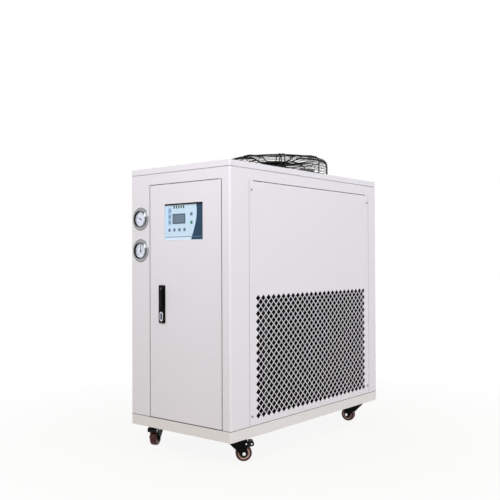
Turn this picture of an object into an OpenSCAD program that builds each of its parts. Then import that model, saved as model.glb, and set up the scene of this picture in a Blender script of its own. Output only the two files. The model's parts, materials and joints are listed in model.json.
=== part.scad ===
// Recirculating chiller: an air-cooled sheet metal cabinet on four swivel castors.
// X is the width, -Y the front and Z up. The origin is on the floor under the cabinet's centre.

/* [Cabinet] */
// Width of the cabinet
cab_w = 500; // [480:1:560]
// Depth of the cabinet
cab_d = 990; // [960:1:1100]
// Height of the cabinet's top cover over the floor
cab_h = 1050; // [1030:1:1150]
// Thickness of the cabinet's sheet metal
sheet = 1.5; // [1:0.1:2]
// Outer radius of the upright corners
corner_r = 7; // [5:0.5:12]
// Width of the fixed front strip that carries the gauges
strip_w = 104; // [98:1:115]
// Width of the right front post
post_w = 38; // [32:1:44]
// Depth of the front posts along the cabinet's sides
post_d = 103; // [80:1:120]
// Width of both legs of the rear posts
rear_post_w = 65; // [50:1:75]
// Gap round the door and over and under the panels
seam = 3; // [2:0.5:5]
// Gap at the upright edges of the panels
side_gap = 1.5; // [1:0.5:3]
// Width of the lips that the panels are screwed to
lip_w = 24; // [20:1:30]

/* [Base and top] */
// Height of the base frame
base_h = 38; // [30:1:60]
// Thickness of the base frame's plate
base_wall = 3; // [2:0.5:5]
// Width of the base frame's inner flanges
base_flange = 50; // [40:1:60]
// Thickness of the floor pan
pan_t = 2; // [1.5:0.5:3]
// Distance of the floor pan's edge from the cabinet's outside
pan_inset = 30; // [27:1:35]
// Height of the upper frame
rail_h = 41; // [30:1:60]
// Width of the upper frame's bottom flange
rail_flange = 28; // [20:1:32]
// Height of the top cover
cover_h = 21; // [15:1:30]
// Open joint under the top cover's skirt
shadow_gap = 2; // [1:0.5:4]
// Distance of the frame's upstand from the cabinet's outside
upstand_in = 5; // [4:0.5:8]

/* [Grille] */
// Columns of diamonds in the full rows
grille_cols = 22; // [16:1:22]
// Full rows of diamonds
grille_rows = 14; // [10:1:14]
// Spacing of the diamonds along a row
grille_pitch_y = 34.6; // [33:0.1:35]
// Spacing of the full rows
grille_pitch_z = 31.7; // [28:0.1:33]
// Diagonal of one diamond
diamond = 21; // [12:0.5:23]
// Height of the lowest row over the floor
grille_z = 163; // [150:1:200]
// Distance of the first column from the cabinet's front
grille_start = 152; // [140:1:160]

/* [Door] */
// Depth of the door's tray
door_t = 20; // [16:1:24]
// Width of the door's back lips
door_lip = 18; // [14:1:24]
// Thickness of the door seal
gasket_t = 3.7; // [2:0.1:5]
// Width of the door seal
gasket_w = 12; // [8:1:14]
// Radius of the hinge pins
pin_r = 3; // [2:0.1:3.5]
// Distance of the hinge pins from the door's right edge
pin_in = 7; // [7:0.5:9]
// Distance of the hinge pins behind the door's face
pin_back = 6; // [5.5:0.5:6]
// Depth of the hinge bosses in the door
boss_h = 14; // [10:1:20]
// Running clearance of shafts and pins
fit = 0.05; // [0.02:0.01:0.1]

/* [Control unit] */
// Width of the control unit's face
ctl_w = 190; // [160:1:210]
// Height of the control unit's face
ctl_h = 133; // [110:1:140]
// Distance of the control unit's middle left of the door's middle
ctl_off = 4.5; // [0:0.5:10]
// Distance of the control unit's upper edge below the cabinet's top
ctl_down = 138; // [130:1:160]
// Depth of the control unit's housing
ctl_depth = 34; // [25:1:45]
// Depth of the keypad behind the door's face
key_recess = 4; // [3:0.5:6]
// Wall of the control unit's front rim
rim_wall = 1; // [0.8:0.1:2]
// Height of the control unit's upper rim
rim_top = 4.5; // [3:0.5:6]
// Width of the numeric display
lcd_w = 64; // [50:1:70]
// Height of the numeric display
lcd_h = 36; // [30:1:40]

/* [Door lock] */
// Width of the lock's face plate
lock_w = 31; // [28:1:36]
// Height of the lock's face plate
lock_h = 139; // [134:1:145]
// Thickness of the lock's face plate
lock_t = 4.5; // [4:0.5:8]
// Distance of the lock's centre from the door's left edge
lock_in = 65; // [60:1:72]
// Distance of the lock's upper edge below the cabinet's top
lock_down = 435; // [420:1:460]
// Thickness of the lever
lever_t = 5.6; // [5.4:0.1:7]
// Width of the lever
lever_w = 19; // [18:1:24]
// Length of the lever from its turning axis
lever_l = 76; // [60:1:78]
// Radius of the lock's shaft
shaft_r = 5; // [4.5:0.5:6]
// Width of the push button
btn_w = 16; // [12:1:18]
// Height of the push button
btn_h = 35; // [28:1:36]
// Travel of the push button
btn_travel = 2.5; // [1.5:0.5:3]
// Length of the cam from the shaft's axis
cam_l = 42; // [34:1:43]

/* [Gauges] */
// Distance of the upper gauge below the cabinet's top
gauge_down1 = 187.5; // [180:0.5:200]
// Distance of the lower gauge below the cabinet's top
gauge_down2 = 307; // [295:0.5:320]
// Distance of the gauges from the cabinet's left side
gauge_x = 53; // [48:1:58]
// Diameter of the gauge's front flange
gauge_flange = 85; // [74:1:88]
// Diameter of the gauge's dial
dial_d = 60; // [50:1:64]
// Height of the gauge's rim over its flange
gauge_rim = 7; // [6:0.5:9]
// Depth of the gauge's case behind the sheet
gauge_depth = 30; // [20:1:40]

/* [Fan] */
// Distance of the fan's axis behind the cabinet's centre
fan_y = 90; // [60:1:110]
// Radius of the guard's basket
guard_r = 218; // [212:1:224]
// Height of the guard over the top cover
guard_h = 75; // [65:1:90]
// Diameter of the guard's ring wires
ring_d = 3.6; // [3:0.1:5]
// Diameter of the guard's support wires
arm_d = 6; // [5:0.1:8]
// Number of rings up the guard's side
side_rings = 5; // [3:1:7]
// Number of rings on the guard's top
top_rings = 8; // [5:1:9]
// Spacing of the two wires of a support pair
arm_pair = 26; // [20:1:32]
// Radius of the fan opening
fan_hole_r = 208; // [205:1:209]
// Inner radius of the fan's duct
duct_r = 203; // [202:1:204]
// Depth of the fan's duct
duct_h = 62; // [50:1:80]
// Radius of the fan blades
blade_r = 196; // [180:1:200]
// Number of fan blades
blades = 5; // [3:1:7]
// Pitch of the fan blades
blade_pitch = 27; // [18:1:30]
// Radius of the fan's rotor
rotor_r = 69; // [60:1:75]
// Height of the fan's rotor
rotor_h = 62; // [50:1:64]

/* [Castors] */
// Height of the castors from the floor to the base
castor_h = 85; // [80:1:100]
// Distance of the castors' swivels from the cabinet's sides
castor_in = 52; // [48:1:60]
// Distance of the front castors' swivels from the cabinet's front
castor_end = 88; // [80:1:100]
// Distance of the rear castors' swivels from the cabinet's back
castor_rear = 106; // [90:1:110]
// Diameter of the castor wheels
wheel_d = 58; // [50:1:58]
// Width of the castor wheels
wheel_w = 26; // [20:1:28]
// Distance of the wheel's axle behind the swivel
trail = 27; // [22:1:30]
// Thickness of the fork's cheeks
cheek_t = 3; // [2:0.5:4]
// Side of the castor's mounting plate
plate_w = 66; // [60:1:70]

/* [Water circuit] */
// Outer diameter of the water pipes
water_d = 22; // [18:1:28]
// Inner radius of the hose sockets' thread
socket_r = 9.3; // [8:0.1:10]
// Depth of the hose sockets' thread
socket_depth = 16; // [12:1:20]
// Length that the hose sockets stand out of the cabinet
stand_out = 10.5; // [10.5:0.5:14]
// Width of the water tank
tank_w = 365; // [300:1:370]
// Depth of the water tank
tank_d = 310; // [260:1:315]
// Height of the water tank
tank_h = 395; // [300:1:430]

/* [Refrigeration] */
// Radius of the compressor's shell
comp_r = 78; // [70:1:79]
// Height of the compressor's shell
comp_h = 300; // [260:1:320]
// Outer diameter of the copper pipes
copper_d = 12; // [10:1:16]
// Thickness of the condenser
cond_t = 34; // [28:1:40]
// Height of the condenser
cond_h = 470; // [440:1:480]
// Spacing of the grooves between the condenser's fin packs
fin_pitch = 16; // [14:1:30]

/* [Hidden] */
$fn = 64;
eps = 1;

half_w = cab_w / 2;
half_d = cab_d / 2;
z_base = castor_h;
z_post = castor_h + base_h;
z_pan = z_post + pan_t;
z_cover = cab_h - cover_h;
z_rail = z_cover - rail_h;
ctl_z = cab_h - ctl_down - ctl_h;
lock_z = cab_h - lock_down - lock_h;
gauge_z1 = cab_h - gauge_down1;
gauge_z2 = cab_h - gauge_down2;
sheet_colour = [0.90, 0.89, 0.89];
steel_colour = [0.72, 0.73, 0.74];
copper_colour = [0.78, 0.47, 0.30];
black = [0.08, 0.08, 0.09];

// Corner n counts front left, front right, rear left, rear right
function corner_sx(n) = n % 2 == 0 ? -1 : 1;
function corner_sy(n) = n < 2 ? -1 : 1;

// Flat shapes
module rounded(w, d, r) {
    square([w - 2 * r, d], center = true);
    square([w, d - 2 * r], center = true);
    for (sx = [-1, 1], sy = [-1, 1])
        translate([sx * (w / 2 - r), sy * (d / 2 - r)]) circle(r);
}

// Ring of width t inside a rounded outline
module ring(w, d, r, t) {
    difference() {
        rounded(w, d, r);
        if (r > t) rounded(w - 2 * t, d - 2 * t, r - t);
        else square([w - 2 * t, d - 2 * t], center = true);
    }
}

// Turns a shape drawn in the plane so that it lies in the YZ plane, thick along X from x0
module along_x(x0, t) translate([x0, 0, 0]) rotate([90, 0, 90]) linear_extrude(t) children();

// Turns a shape drawn in the plane so that it lies in the XZ plane, thick along Y from y0
module along_y(y0, t) translate([0, y0 + t, 0]) rotate([90, 0, 0]) linear_extrude(t) children();

// Cylinder that starts at a point and runs along Y towards the back
module rod_y(x, y, z, r, l) translate([x, y, z]) rotate([-90, 0, 0]) cylinder(r = r, h = l);

// Round pipe along a path with square turns, bent at radius bend
module pipe(path, d, bend) {
    last = len(path) - 1;
    for (i = [0 : last - 1]) {
        run = path[i + 1] - path[i];
        dir = run / norm(run);
        from = path[i] + (i == 0 ? 0 : bend) * dir;
        to = path[i + 1] - (i == last - 1 ? 0 : bend) * dir;
        straight(from, to, d);
        if (i < last - 1) {
            next = path[i + 2] - path[i + 1];
            elbow(path[i + 1], dir, next / norm(next), d, bend);
        }
    }
}

// Straight piece of round bar between two points
module straight(from, to, d) {
    run = to - from;
    l = norm(run);
    translate(from) rotate([0, acos(run.z / l), atan2(run.y, run.x)]) cylinder(d = d, h = l);
}

// Quarter bend at a corner, from direction a into direction b
module elbow(corner, a, b, d, bend) {
    n = cross(-b, a);
    c = corner - a * bend + b * bend;
    multmatrix([
        [-b.x, a.x, n.x, c.x],
        [-b.y, a.y, n.y, c.y],
        [-b.z, a.z, n.z, c.z],
        [0, 0, 0, 1]
    ]) rotate_extrude(angle = 90) translate([bend, 0]) circle(d = d);
}

// Base frame
pad_w = castor_in + plate_w / 2 + 12;
pad_d = max(castor_end, castor_rear) + plate_w / 2 + 12;
module base_frame() color(sheet_colour) translate([0, 0, z_base]) {
    linear_extrude(base_h) ring(cab_w, cab_d, corner_r, base_wall);
    translate([0, 0, base_h - base_wall]) linear_extrude(base_wall)
        ring(cab_w, cab_d, corner_r, base_flange);
    linear_extrude(base_wall) difference() {
        rounded(cab_w, cab_d, corner_r);
        square([cab_w - 2 * base_flange, cab_d - 2 * pad_d], center = true);
        square([cab_w - 2 * pad_w, cab_d - 2 * base_flange], center = true);
    }
}

module base_floor() color(steel_colour) translate([0, 0, z_post]) linear_extrude(pan_t)
    square([cab_w - 2 * pan_inset, cab_d - 2 * pan_inset], center = true);

// Upright posts
door_rebate = door_t + gasket_t + 0.3;
stop_w = lip_w - 1;

// Folded angle with its rounded corner at the origin and legs a along X and b along Y
module angle_section(a, b) {
    translate([corner_r, 0]) square([a - corner_r, sheet]);
    translate([0, corner_r]) square([sheet, b - corner_r]);
    translate([corner_r, corner_r]) intersection() {
        difference() {
            circle(corner_r);
            circle(corner_r - sheet);
        }
        translate([-corner_r, -corner_r]) square(corner_r);
    }
}

// Lip one sheet behind the face at the end of leg b, for a screwed panel
module panel_lip_y(b) translate([sheet, b - sheet]) square([sheet, lip_w + sheet]);
module panel_lip_x(a) translate([a - sheet, sheet]) square([lip_w + sheet, sheet]);

// Return and stop behind the door's edge at the end of leg a
module door_stop(a) {
    translate([a - sheet, 0]) square([sheet, door_rebate + sheet]);
    translate([a - sheet, door_rebate]) square([stop_w + sheet, sheet]);
}

module front_post(a) {
    b = post_d - side_gap / 2;
    linear_extrude(z_rail - z_post) {
        angle_section(a, b);
        panel_lip_y(b);
        door_stop(a);
    }
}

// Places a post's own corner on a corner of the cabinet
module at_corner(n) mirrored(corner_sx(n), corner_sy(n)) translate([-half_w, -half_d, z_post])
    children();

// Mirrors across the cabinet's middle planes where a sign is positive
module mirrored(sx, sy) mirror([sx > 0 ? 1 : 0, 0, 0]) mirror([0, sy > 0 ? 1 : 0, 0]) children();

// Screws of the panels
screw_r = 2.5;
screw_head_r = 4.5;
screw_head_h = 2.4;
screw_l = 11;
screw_play = 0.15;
screw_edge = 13;
screw_end = 34;
screw_zs = [z_post + screw_end, z_rail - screw_end];
side_screw_ys = [-half_d + post_d + screw_edge, half_d - rear_post_w - screw_edge];
rear_screw_x = half_w - rear_post_w - screw_edge;
foot_turn = 45;
foot_r = guard_r + 13;

module side_screw_holes() for (y = side_screw_ys, z = screw_zs)
    translate([-half_w - eps, y, z]) rotate([0, 90, 0])
        cylinder(r = screw_r + screw_play, h = cab_w + 2 * eps);

module rear_screw_holes() for (x = [-rear_screw_x, rear_screw_x], z = screw_zs)
    rod_y(x, half_d - 4 * sheet, z, screw_r + screw_play, 4 * sheet + eps);

module screw() {
    translate([0, 0, -screw_l]) cylinder(r = screw_r, h = screw_l);
    cylinder(r1 = screw_head_r, r2 = screw_head_r - 1.4, h = screw_head_h);
}

module cover_screws() color(steel_colour) {
    for (y = side_screw_ys, z = screw_zs, s = [-1, 1])
        translate([s * half_w, y, z]) rotate([0, s * 90, 0]) screw();
    for (x = [-rear_screw_x, rear_screw_x], z = screw_zs)
        translate([x, half_d, z]) rotate([-90, 0, 0]) screw();
    for (i = [0 : 3])
        translate([0, fan_y, cab_h + foot_t]) rotate([0, 0, foot_turn + i * 90])
            translate([foot_r, 0, 0]) screw();
}

module gauge_strip() color(sheet_colour) difference() {
    at_corner(0) front_post(strip_w - seam / 2);
    side_screw_holes();
    for (z = [gauge_z1, gauge_z2])
        rod_y(-half_w + gauge_x, -half_d - eps, z, dial_d / 2 + 2.5, sheet + 2 * eps);
}

module post_front_right() color(sheet_colour) difference() {
    at_corner(1) front_post(post_w - seam / 2);
    side_screw_holes();
}

module rear_posts() color(sheet_colour) difference() {
    b = rear_post_w - side_gap / 2;
    for (n = [2, 3]) at_corner(n) linear_extrude(z_rail - z_post) {
        angle_section(b, b);
        panel_lip_y(b);
        panel_lip_x(b);
    }
    side_screw_holes();
    rear_screw_holes();
}

// Upper frame and top cover
module upper_frame() color(sheet_colour) {
    ledge_z = z_cover - shadow_gap - sheet;
    translate([0, 0, z_rail]) linear_extrude(rail_h - shadow_gap)
        ring(cab_w, cab_d, corner_r, sheet);
    translate([0, 0, z_rail]) linear_extrude(sheet)
        ring(cab_w, cab_d, corner_r, rail_flange);
    translate([0, 0, ledge_z]) linear_extrude(sheet)
        ring(cab_w, cab_d, corner_r, upstand_in + sheet);
    translate([0, 0, ledge_z]) linear_extrude(cab_h - sheet - ledge_z)
        ring(cab_w - 2 * upstand_in, cab_d - 2 * upstand_in, sheet, sheet);
}

module top_cover() color(sheet_colour) difference() {
    translate([0, 0, z_cover]) linear_extrude(cover_h) rounded(cab_w, cab_d, corner_r);
    translate([0, 0, z_cover - eps]) linear_extrude(cover_h - sheet + eps)
        rounded(cab_w - 2 * sheet, cab_d - 2 * sheet, corner_r - sheet);
    translate([0, fan_y, cab_h - sheet - eps]) cylinder(r = fan_hole_r, h = sheet + 2 * eps);
    for (i = [0 : 3])
        translate([0, fan_y, cab_h - sheet - eps]) rotate([0, 0, foot_turn + i * 90])
            translate([foot_r, 0, 0]) cylinder(r = screw_r + screw_play, h = sheet + 2 * eps);
}

// Side and rear panels
panel_y0 = -half_d + post_d + side_gap / 2;
panel_y1 = half_d - rear_post_w - side_gap / 2;
panel_z0 = z_post + seam;
panel_z1 = z_rail - seam;
hem = 12;

// One diamond, standing on its corner
module diamond_hole() circle(d = diamond, $fn = 4);

module diamond_field() {
    y0 = -half_d + grille_start;
    for (row = [0 : grille_rows - 1], col = [0 : grille_cols - 1])
        translate([y0 + col * grille_pitch_y, grille_z + row * grille_pitch_z]) diamond_hole();
    for (row = [0 : grille_rows - 2], col = [0 : grille_cols - 2])
        translate([y0 + (col + 0.5) * grille_pitch_y, grille_z + (row + 0.5) * grille_pitch_z])
            diamond_hole();
}

module panel_blank() translate([panel_y0, panel_z0])
    square([panel_y1 - panel_y0, panel_z1 - panel_z0]);

// Stiffening hems along the panel's top and bottom, between the posts' lips
module panel_hems(x0) {
    inner = lip_w + 4;
    for (z = [panel_z0, panel_z1 - sheet])
        translate([x0, panel_y0 + inner, z])
            cube([hem, panel_y1 - panel_y0 - 2 * inner, sheet]);
}

module side_panel_right() color(sheet_colour) {
    difference() {
        along_x(half_w - sheet, sheet) difference() {
            panel_blank();
            diamond_field();
        }
        side_screw_holes();
    }
    panel_hems(half_w - sheet - hem);
}

module side_panel_left() color(sheet_colour) {
    difference() {
        along_x(-half_w, sheet) panel_blank();
        side_screw_holes();
    }
    panel_hems(-half_w + sheet);
}

// Rear panel with the places of the water sockets and the cable inlet
pump_x = half_w - 155;
return_x = -half_w + 190;
drain_z = 175;
supply_z = 720;
return_z = 620;
gland_x = -130;
gland_z = 230;
gland_r = 6.5;
socket_nut_r = 15;
gland_body_r = 11;
socket_places = [[pump_x, supply_z], [return_x, return_z], [pump_x, drain_z]];
rear_x = half_w - rear_post_w - side_gap / 2;

module rear_panel() color(sheet_colour) {
    difference() {
        along_y(half_d - sheet, sheet) difference() {
            translate([-rear_x, panel_z0]) square([2 * rear_x, panel_z1 - panel_z0]);
            for (p = socket_places) translate(p) circle(socket_nut_r + 0.2);
            translate([gland_x, gland_z]) circle(gland_body_r + 0.2);
        }
        rear_screw_holes();
    }
    for (z = [panel_z0, panel_z1 - sheet])
        translate([-rear_x + lip_w + 4, half_d - sheet - hem, z])
            cube([2 * (rear_x - lip_w - 4), hem, sheet]);
}

// Brass sockets, screwed into the rear panel from inside
socket_back = 24;
module hose_sockets() color([0.80, 0.66, 0.36]) for (p = socket_places)
    translate([p.x, half_d, p.y]) rotate([-90, 0, 0]) difference() {
        union() {
            translate([0, 0, -socket_back]) cylinder(r = socket_nut_r, h = socket_back + stand_out);
            cylinder(r = 20, h = 8, $fn = 6);
            translate([0, 0, -sheet - 6]) cylinder(r = 20, h = 6, $fn = 6);
        }
        translate([0, 0, stand_out - socket_depth]) cylinder(r = socket_r, h = socket_depth + eps);
        translate([0, 0, -socket_back - eps])
            cylinder(r = water_d / 2 - 4, h = socket_back + stand_out + eps);
    }

module cable_gland() color(black) translate([gland_x, half_d, gland_z]) rotate([-90, 0, 0])
    difference() {
        union() {
            translate([0, 0, -14]) cylinder(r = gland_body_r, h = 18);
            translate([0, 0, -sheet - 5]) cylinder(r = 15.5, h = 5, $fn = 6);
            cylinder(r = 15.5, h = 5, $fn = 6);
            translate([0, 0, 5]) cylinder(r = 13, h = 3);
            translate([0, 0, 8]) cylinder(r1 = 13, r2 = 10.5, h = stand_out - 8.5);
        }
        translate([0, 0, -14 - eps]) cylinder(r = gland_r, h = 14 + stand_out + 2 * eps);
    }

// Partition between the switchgear and the machine room
room_d = 205;
bulk_y = -half_d + room_d;
bulk_w = cab_w - 2 * (sheet + hem + 1);
module bulkhead() color(steel_colour) {
    translate([-bulk_w / 2, bulk_y, z_pan]) cube([bulk_w, sheet, z_rail - z_pan]);
    for (s = [-1, 1]) translate([s * (bulk_w - sheet) / 2, bulk_y + 8, (z_pan + z_rail) / 2])
        cube([sheet, 16, z_rail - z_pan], center = true);
}

// Mounting plate with its top-hat rail, on four spacers before the partition
plate_x0 = -half_w + 140;
plate_x1 = half_w - 60;
plate_z1 = z_rail - 88;
plate_z0 = plate_z1 - 520;
spacer_l = 14;
rail_z = plate_z1 - 260;
rail_back = bulk_y - spacer_l - 2;
module mounting_plate() color([0.78, 0.78, 0.74]) {
    translate([plate_x0, rail_back, plate_z0]) cube([plate_x1 - plate_x0, 2, plate_z1 - plate_z0]);
    for (x = [plate_x0 + 20, plate_x1 - 20], z = [plate_z0 + 20, plate_z1 - 20])
        rod_y(x, rail_back + 2, z, 6, spacer_l);
    translate([plate_x0 + 20, rail_back - 7.5, rail_z]) {
        for (z = [0, 30]) translate([0, 0, z]) cube([plate_x1 - plate_x0 - 40, 1, 5]);
        for (z = [4, 30]) translate([0, 0, z]) cube([plate_x1 - plate_x0 - 40, 7.5, 1]);
    }
}

// Switchgear, clipped over the rail
module device(x, w, h, d, nose) {
    y = rail_back - 7.5 - d;
    translate([x, y, rail_z + 17.5 - h / 2]) cube([w, d, h]);
    translate([x + 3, y - nose, rail_z + 17.5 - h / 4]) cube([w - 6, nose, h / 2]);
}
breaker_x = plate_x0 + 140;
module contactors() color(black)
    for (x = [30, 80]) device(plate_x0 + x, 45, 76, 60, 18);
module circuit_breaker() color([0.85, 0.85, 0.83]) difference() {
    device(breaker_x, 54, 82, 52, 14);
    for (i = [1, 2])
        translate([breaker_x + i * 18 - 0.5, rail_back - 62, rail_z - 30]) cube([1, 4, 95]);
}

// Condenser behind the grille
cond_x1 = half_w - sheet - 20;
cond_x0 = cond_x1 - cond_t;
cond_z0 = z_pan;
cond_y0 = bulk_y + 34;
cond_y1 = half_d - rear_post_w - 38;
cond_l = cond_y1 - cond_y0;
module condenser_core() color([0.55, 0.56, 0.57]) difference() {
    translate([cond_x0, cond_y0, cond_z0]) cube([cond_t, cond_l, cond_h]);
    for (y = [cond_y0 + fin_pitch : fin_pitch : cond_y1 - fin_pitch / 2])
        translate([cond_x1 - 8, y, cond_z0 + 12]) cube([8 + eps, 2, cond_h - 24]);
}

// Return bends of the condenser's tubes at both ends
bend_gap = 36;
module condenser_tubes() color(copper_colour)
    for (i = [0 : floor((cond_h - 60) / bend_gap)], side = [0, 1])
        if (i % 2 == side)
            translate([(cond_x0 + cond_x1) / 2, side == 0 ? cond_y0 : cond_y1, cond_z0 + 30 + i * bend_gap])
                rotate([0, 90, 0]) rotate([0, 0, side == 0 ? 180 : 0])
                    rotate_extrude(angle = 180) translate([bend_gap / 2, 0]) circle(d = copper_d);

// Compressor on its rubber feet
comp_half = 86;
comp_x = -half_w + 150;
comp_y = bulk_y + comp_half + 44;
foot_h = 20;
comp_plate = 5;
terminal_box = [60, 30, 70];
terminal_z = 150;
comp_z = z_pan + foot_h + comp_plate;
dome_r = 110;
dome_edge = comp_h - dome_r + sqrt(dome_r * dome_r - comp_r * comp_r);
module compressor() color(black) translate([comp_x, comp_y, 0]) {
    translate([0, 0, comp_z]) rotate_extrude() {
        square([comp_r - 8, dome_edge]);
        translate([0, 30]) square([comp_r, dome_edge - 30]);
        intersection() {
            translate([0, comp_h - dome_r]) circle(dome_r);
            translate([0, dome_edge - 1]) square([comp_r, dome_r]);
        }
    }
    difference() {
        translate([0, 0, z_pan + foot_h + comp_plate / 2])
            cube([2 * comp_half, 2 * comp_half, comp_plate], center = true);
        for (sx = [-1, 1], sy = [-1, 1])
            translate([sx * (comp_half - 16), sy * (comp_half - 16), z_pan])
                cylinder(r = 7, h = foot_h + comp_plate + eps);
    }
    translate([0, -comp_r - 8, comp_z + terminal_z]) cube(terminal_box, center = true);
}

module compressor_feet() color([0.15, 0.15, 0.15]) for (sx = [-1, 1], sy = [-1, 1])
    translate([comp_x + sx * (comp_half - 16), comp_y + sy * (comp_half - 16), z_pan])
        rotate_extrude() polygon([
            [4, 0], [16, 0], [13, foot_h / 2], [16, foot_h], [6.7, foot_h],
            [6.7, foot_h + comp_plate], [12, foot_h + comp_plate], [10, foot_h + comp_plate + 5],
            [4, foot_h + comp_plate + 5]
        ]);

// Plate heat exchanger and the copper circuit
wall_gap = 35;
hx_x0 = -half_w + wall_gap;
hx_w = 110;
hx_y0 = comp_y + comp_half + 40;
hx_d = 60;
hx_h = 305;
copper_bend = 16;
module heat_exchanger() color(steel_colour) difference() {
    translate([hx_x0, hx_y0, z_pan]) cube([hx_w, hx_d, hx_h]);
    for (i = [1 : 6]) translate([hx_x0 - eps, hx_y0 + i * hx_d / 7, z_pan + 8])
        cube([4 + eps, 1.5, hx_h - 16]);
}

module discharge_pipe() color(copper_colour) pipe([
    [comp_x, comp_y, comp_z + comp_h],
    [comp_x, comp_y, z_pan + cond_h + 60],
    [(cond_x0 + cond_x1) / 2, comp_y, z_pan + cond_h + 60],
    [(cond_x0 + cond_x1) / 2, comp_y, z_pan + cond_h]
], copper_d, copper_bend);

drier_x = comp_x + 122;
drier_z = z_pan + 195;
drier_y = comp_y;
drier_l = 110;
liquid_y = bulk_y + 44;
// The drier is brazed into the liquid line
module filter_drier() translate([drier_x, drier_y, drier_z])
    rotate([-90, 0, 0]) rotate_extrude() polygon([
        [0, 0], [copper_d / 2 + 2, 0], [copper_d / 2 + 2, 8], [22, 20], [22, drier_l - 20],
        [copper_d / 2 + 2, drier_l - 8], [copper_d / 2 + 2, drier_l], [0, drier_l]
    ]);

module liquid_pipe() color(copper_colour) {
    filter_drier();
    pipe([
        [cond_x0, liquid_y, drier_z],
        [drier_x, liquid_y, drier_z],
        [drier_x, drier_y, drier_z]
    ], copper_d, copper_bend);
    pipe([
        [drier_x, drier_y + drier_l, drier_z],
        [drier_x, hx_y0 + hx_d / 2, drier_z],
        [hx_x0 + hx_w, hx_y0 + hx_d / 2, drier_z]
    ], copper_d, copper_bend);
}

suction_x = comp_x - comp_r - 22;
suction_z = comp_z + 200;
module suction_pipe() color(copper_colour) pipe([
    [suction_x, hx_y0, suction_z],
    [suction_x, comp_y, suction_z],
    [comp_x - comp_r + 0.05, comp_y, suction_z]
], copper_d, copper_bend);

// Water tank with its lid
tank_x0 = -half_w + wall_gap;
tank_y0 = half_d - 60 - tank_d;
tank_wall = 1.5;
module water_tank() color(steel_colour) difference() {
    translate([tank_x0, tank_y0, z_pan]) cube([tank_w, tank_d, tank_h]);
    translate([tank_x0 + tank_wall, tank_y0 + tank_wall, z_pan + tank_wall])
        cube([tank_w - 2 * tank_wall, tank_d - 2 * tank_wall, tank_h]);
}

lid_over = 3;
lid_t = 3;
module tank_lid() color([0.30, 0.31, 0.33])
    translate([tank_x0 - lid_over, tank_y0 - lid_over, z_pan + tank_h])
        cube([tank_w + 2 * lid_over, tank_d + 2 * lid_over, lid_t]);

// Circulation pump
pump_z = z_pan + 70;
pump_r = 60;
pump_y = bulk_y + 100;
casing_l = 60;
pump_neck = 55;
motor_l = tank_y0 - pump_neck - casing_l - pump_y;
pump_foot = [90, motor_l - 80, 24];
water_bend = 30;
module pump_motor() color([0.16, 0.30, 0.45]) {
    difference() {
        rod_y(pump_x, pump_y, pump_z, pump_r, motor_l);
        for (a = [0 : 30 : 330]) translate([pump_x, pump_y + 20, pump_z]) rotate([0, a, 0])
            translate([-2, -eps, pump_r - 5]) cube([4, motor_l - 40, 6]);
    }
    translate([pump_x - pump_foot.x / 2, pump_y + 40, z_pan]) cube(pump_foot);
}

module pump_casing() color([0.45, 0.46, 0.48]) {
    y = pump_y + motor_l;
    rod_y(pump_x, y, pump_z, pump_r + 4, casing_l);
    rod_y(pump_x, y + casing_l, pump_z, water_d / 2 + 6, tank_y0 - y - casing_l);
    translate([pump_x, y + casing_l / 2, pump_z]) cylinder(r = water_d / 2 + 6, h = pump_r + 14);
}

module supply_pipe() color(black) pipe([
    [pump_x, pump_y + motor_l + casing_l / 2, pump_z + pump_r + 14],
    [pump_x, pump_y + motor_l + casing_l / 2, supply_z],
    [pump_x, half_d - socket_back, supply_z]
], water_d, water_bend);

// The return run, the stub into the tank and the drain, cut from the same tube
return_y = hx_y0 + hx_d / 2;
return_in = hx_x0 + hx_w - 30;
module return_pipe() color(black) {
    pipe([
        [return_x, half_d - socket_back, return_z],
        [return_x, return_y, return_z],
        [return_in, return_y, return_z],
        [return_in, return_y, z_pan + hx_h]
    ], water_d, min(water_bend, (return_x - return_in) / 2));
    straight([return_in, hx_y0 + hx_d, z_pan + 60], [return_in, tank_y0, z_pan + 60], water_d);
    straight([pump_x, tank_y0 + tank_d, drain_z], [pump_x, half_d - socket_back, drain_z], water_d);
}

// Fan
duct_wall = 2;
z_duct = cab_h - sheet - duct_h;
duct_lip = 12;
module fan_duct() color(sheet_colour) translate([0, fan_y, z_duct]) rotate_extrude() {
    translate([duct_r, 0]) square([duct_wall, duct_h]);
    translate([duct_r, duct_h - duct_wall]) square([duct_lip, duct_wall]);
    polygon([
        [duct_r, 6], [duct_r + 4, -2], [duct_r + 4 + duct_wall, -2], [duct_r + duct_wall, 7]
    ]);
}

// Guard: rings of wire on four pairs of bent supports that carry the motor
foot_t = 3;
guard_top = guard_h - ring_d / 2;
shoulder = 14;
top_pitch = (guard_r - shoulder - 72) / (top_rings - 1);
side_pitch = (guard_h - shoulder - 6) / (side_rings - 1);
arm_in = 40;
arm_bend = 12;
module guard_ring(r, z) translate([0, 0, z]) rotate_extrude(convexity = 4) translate([r, 0])
    circle(d = ring_d, $fn = 8);

module guard_arm() {
    arm_r = guard_r - ring_d / 2 - arm_d / 2 + 0.8;
    arm_z = guard_top - ring_d / 2 - arm_d / 2 + 0.8;
    pipe([[arm_r, 0, foot_t], [arm_r, 0, arm_z], [arm_in, 0, arm_z]], arm_d, arm_bend);
}

module guard_foot() difference() {
    translate([guard_r - 14, -arm_pair / 2 - 6, 0]) cube([38, arm_pair + 12, foot_t]);
    translate([foot_r, 0, -eps]) cylinder(r = screw_r + screw_play, h = foot_t + 2 * eps);
}

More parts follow.
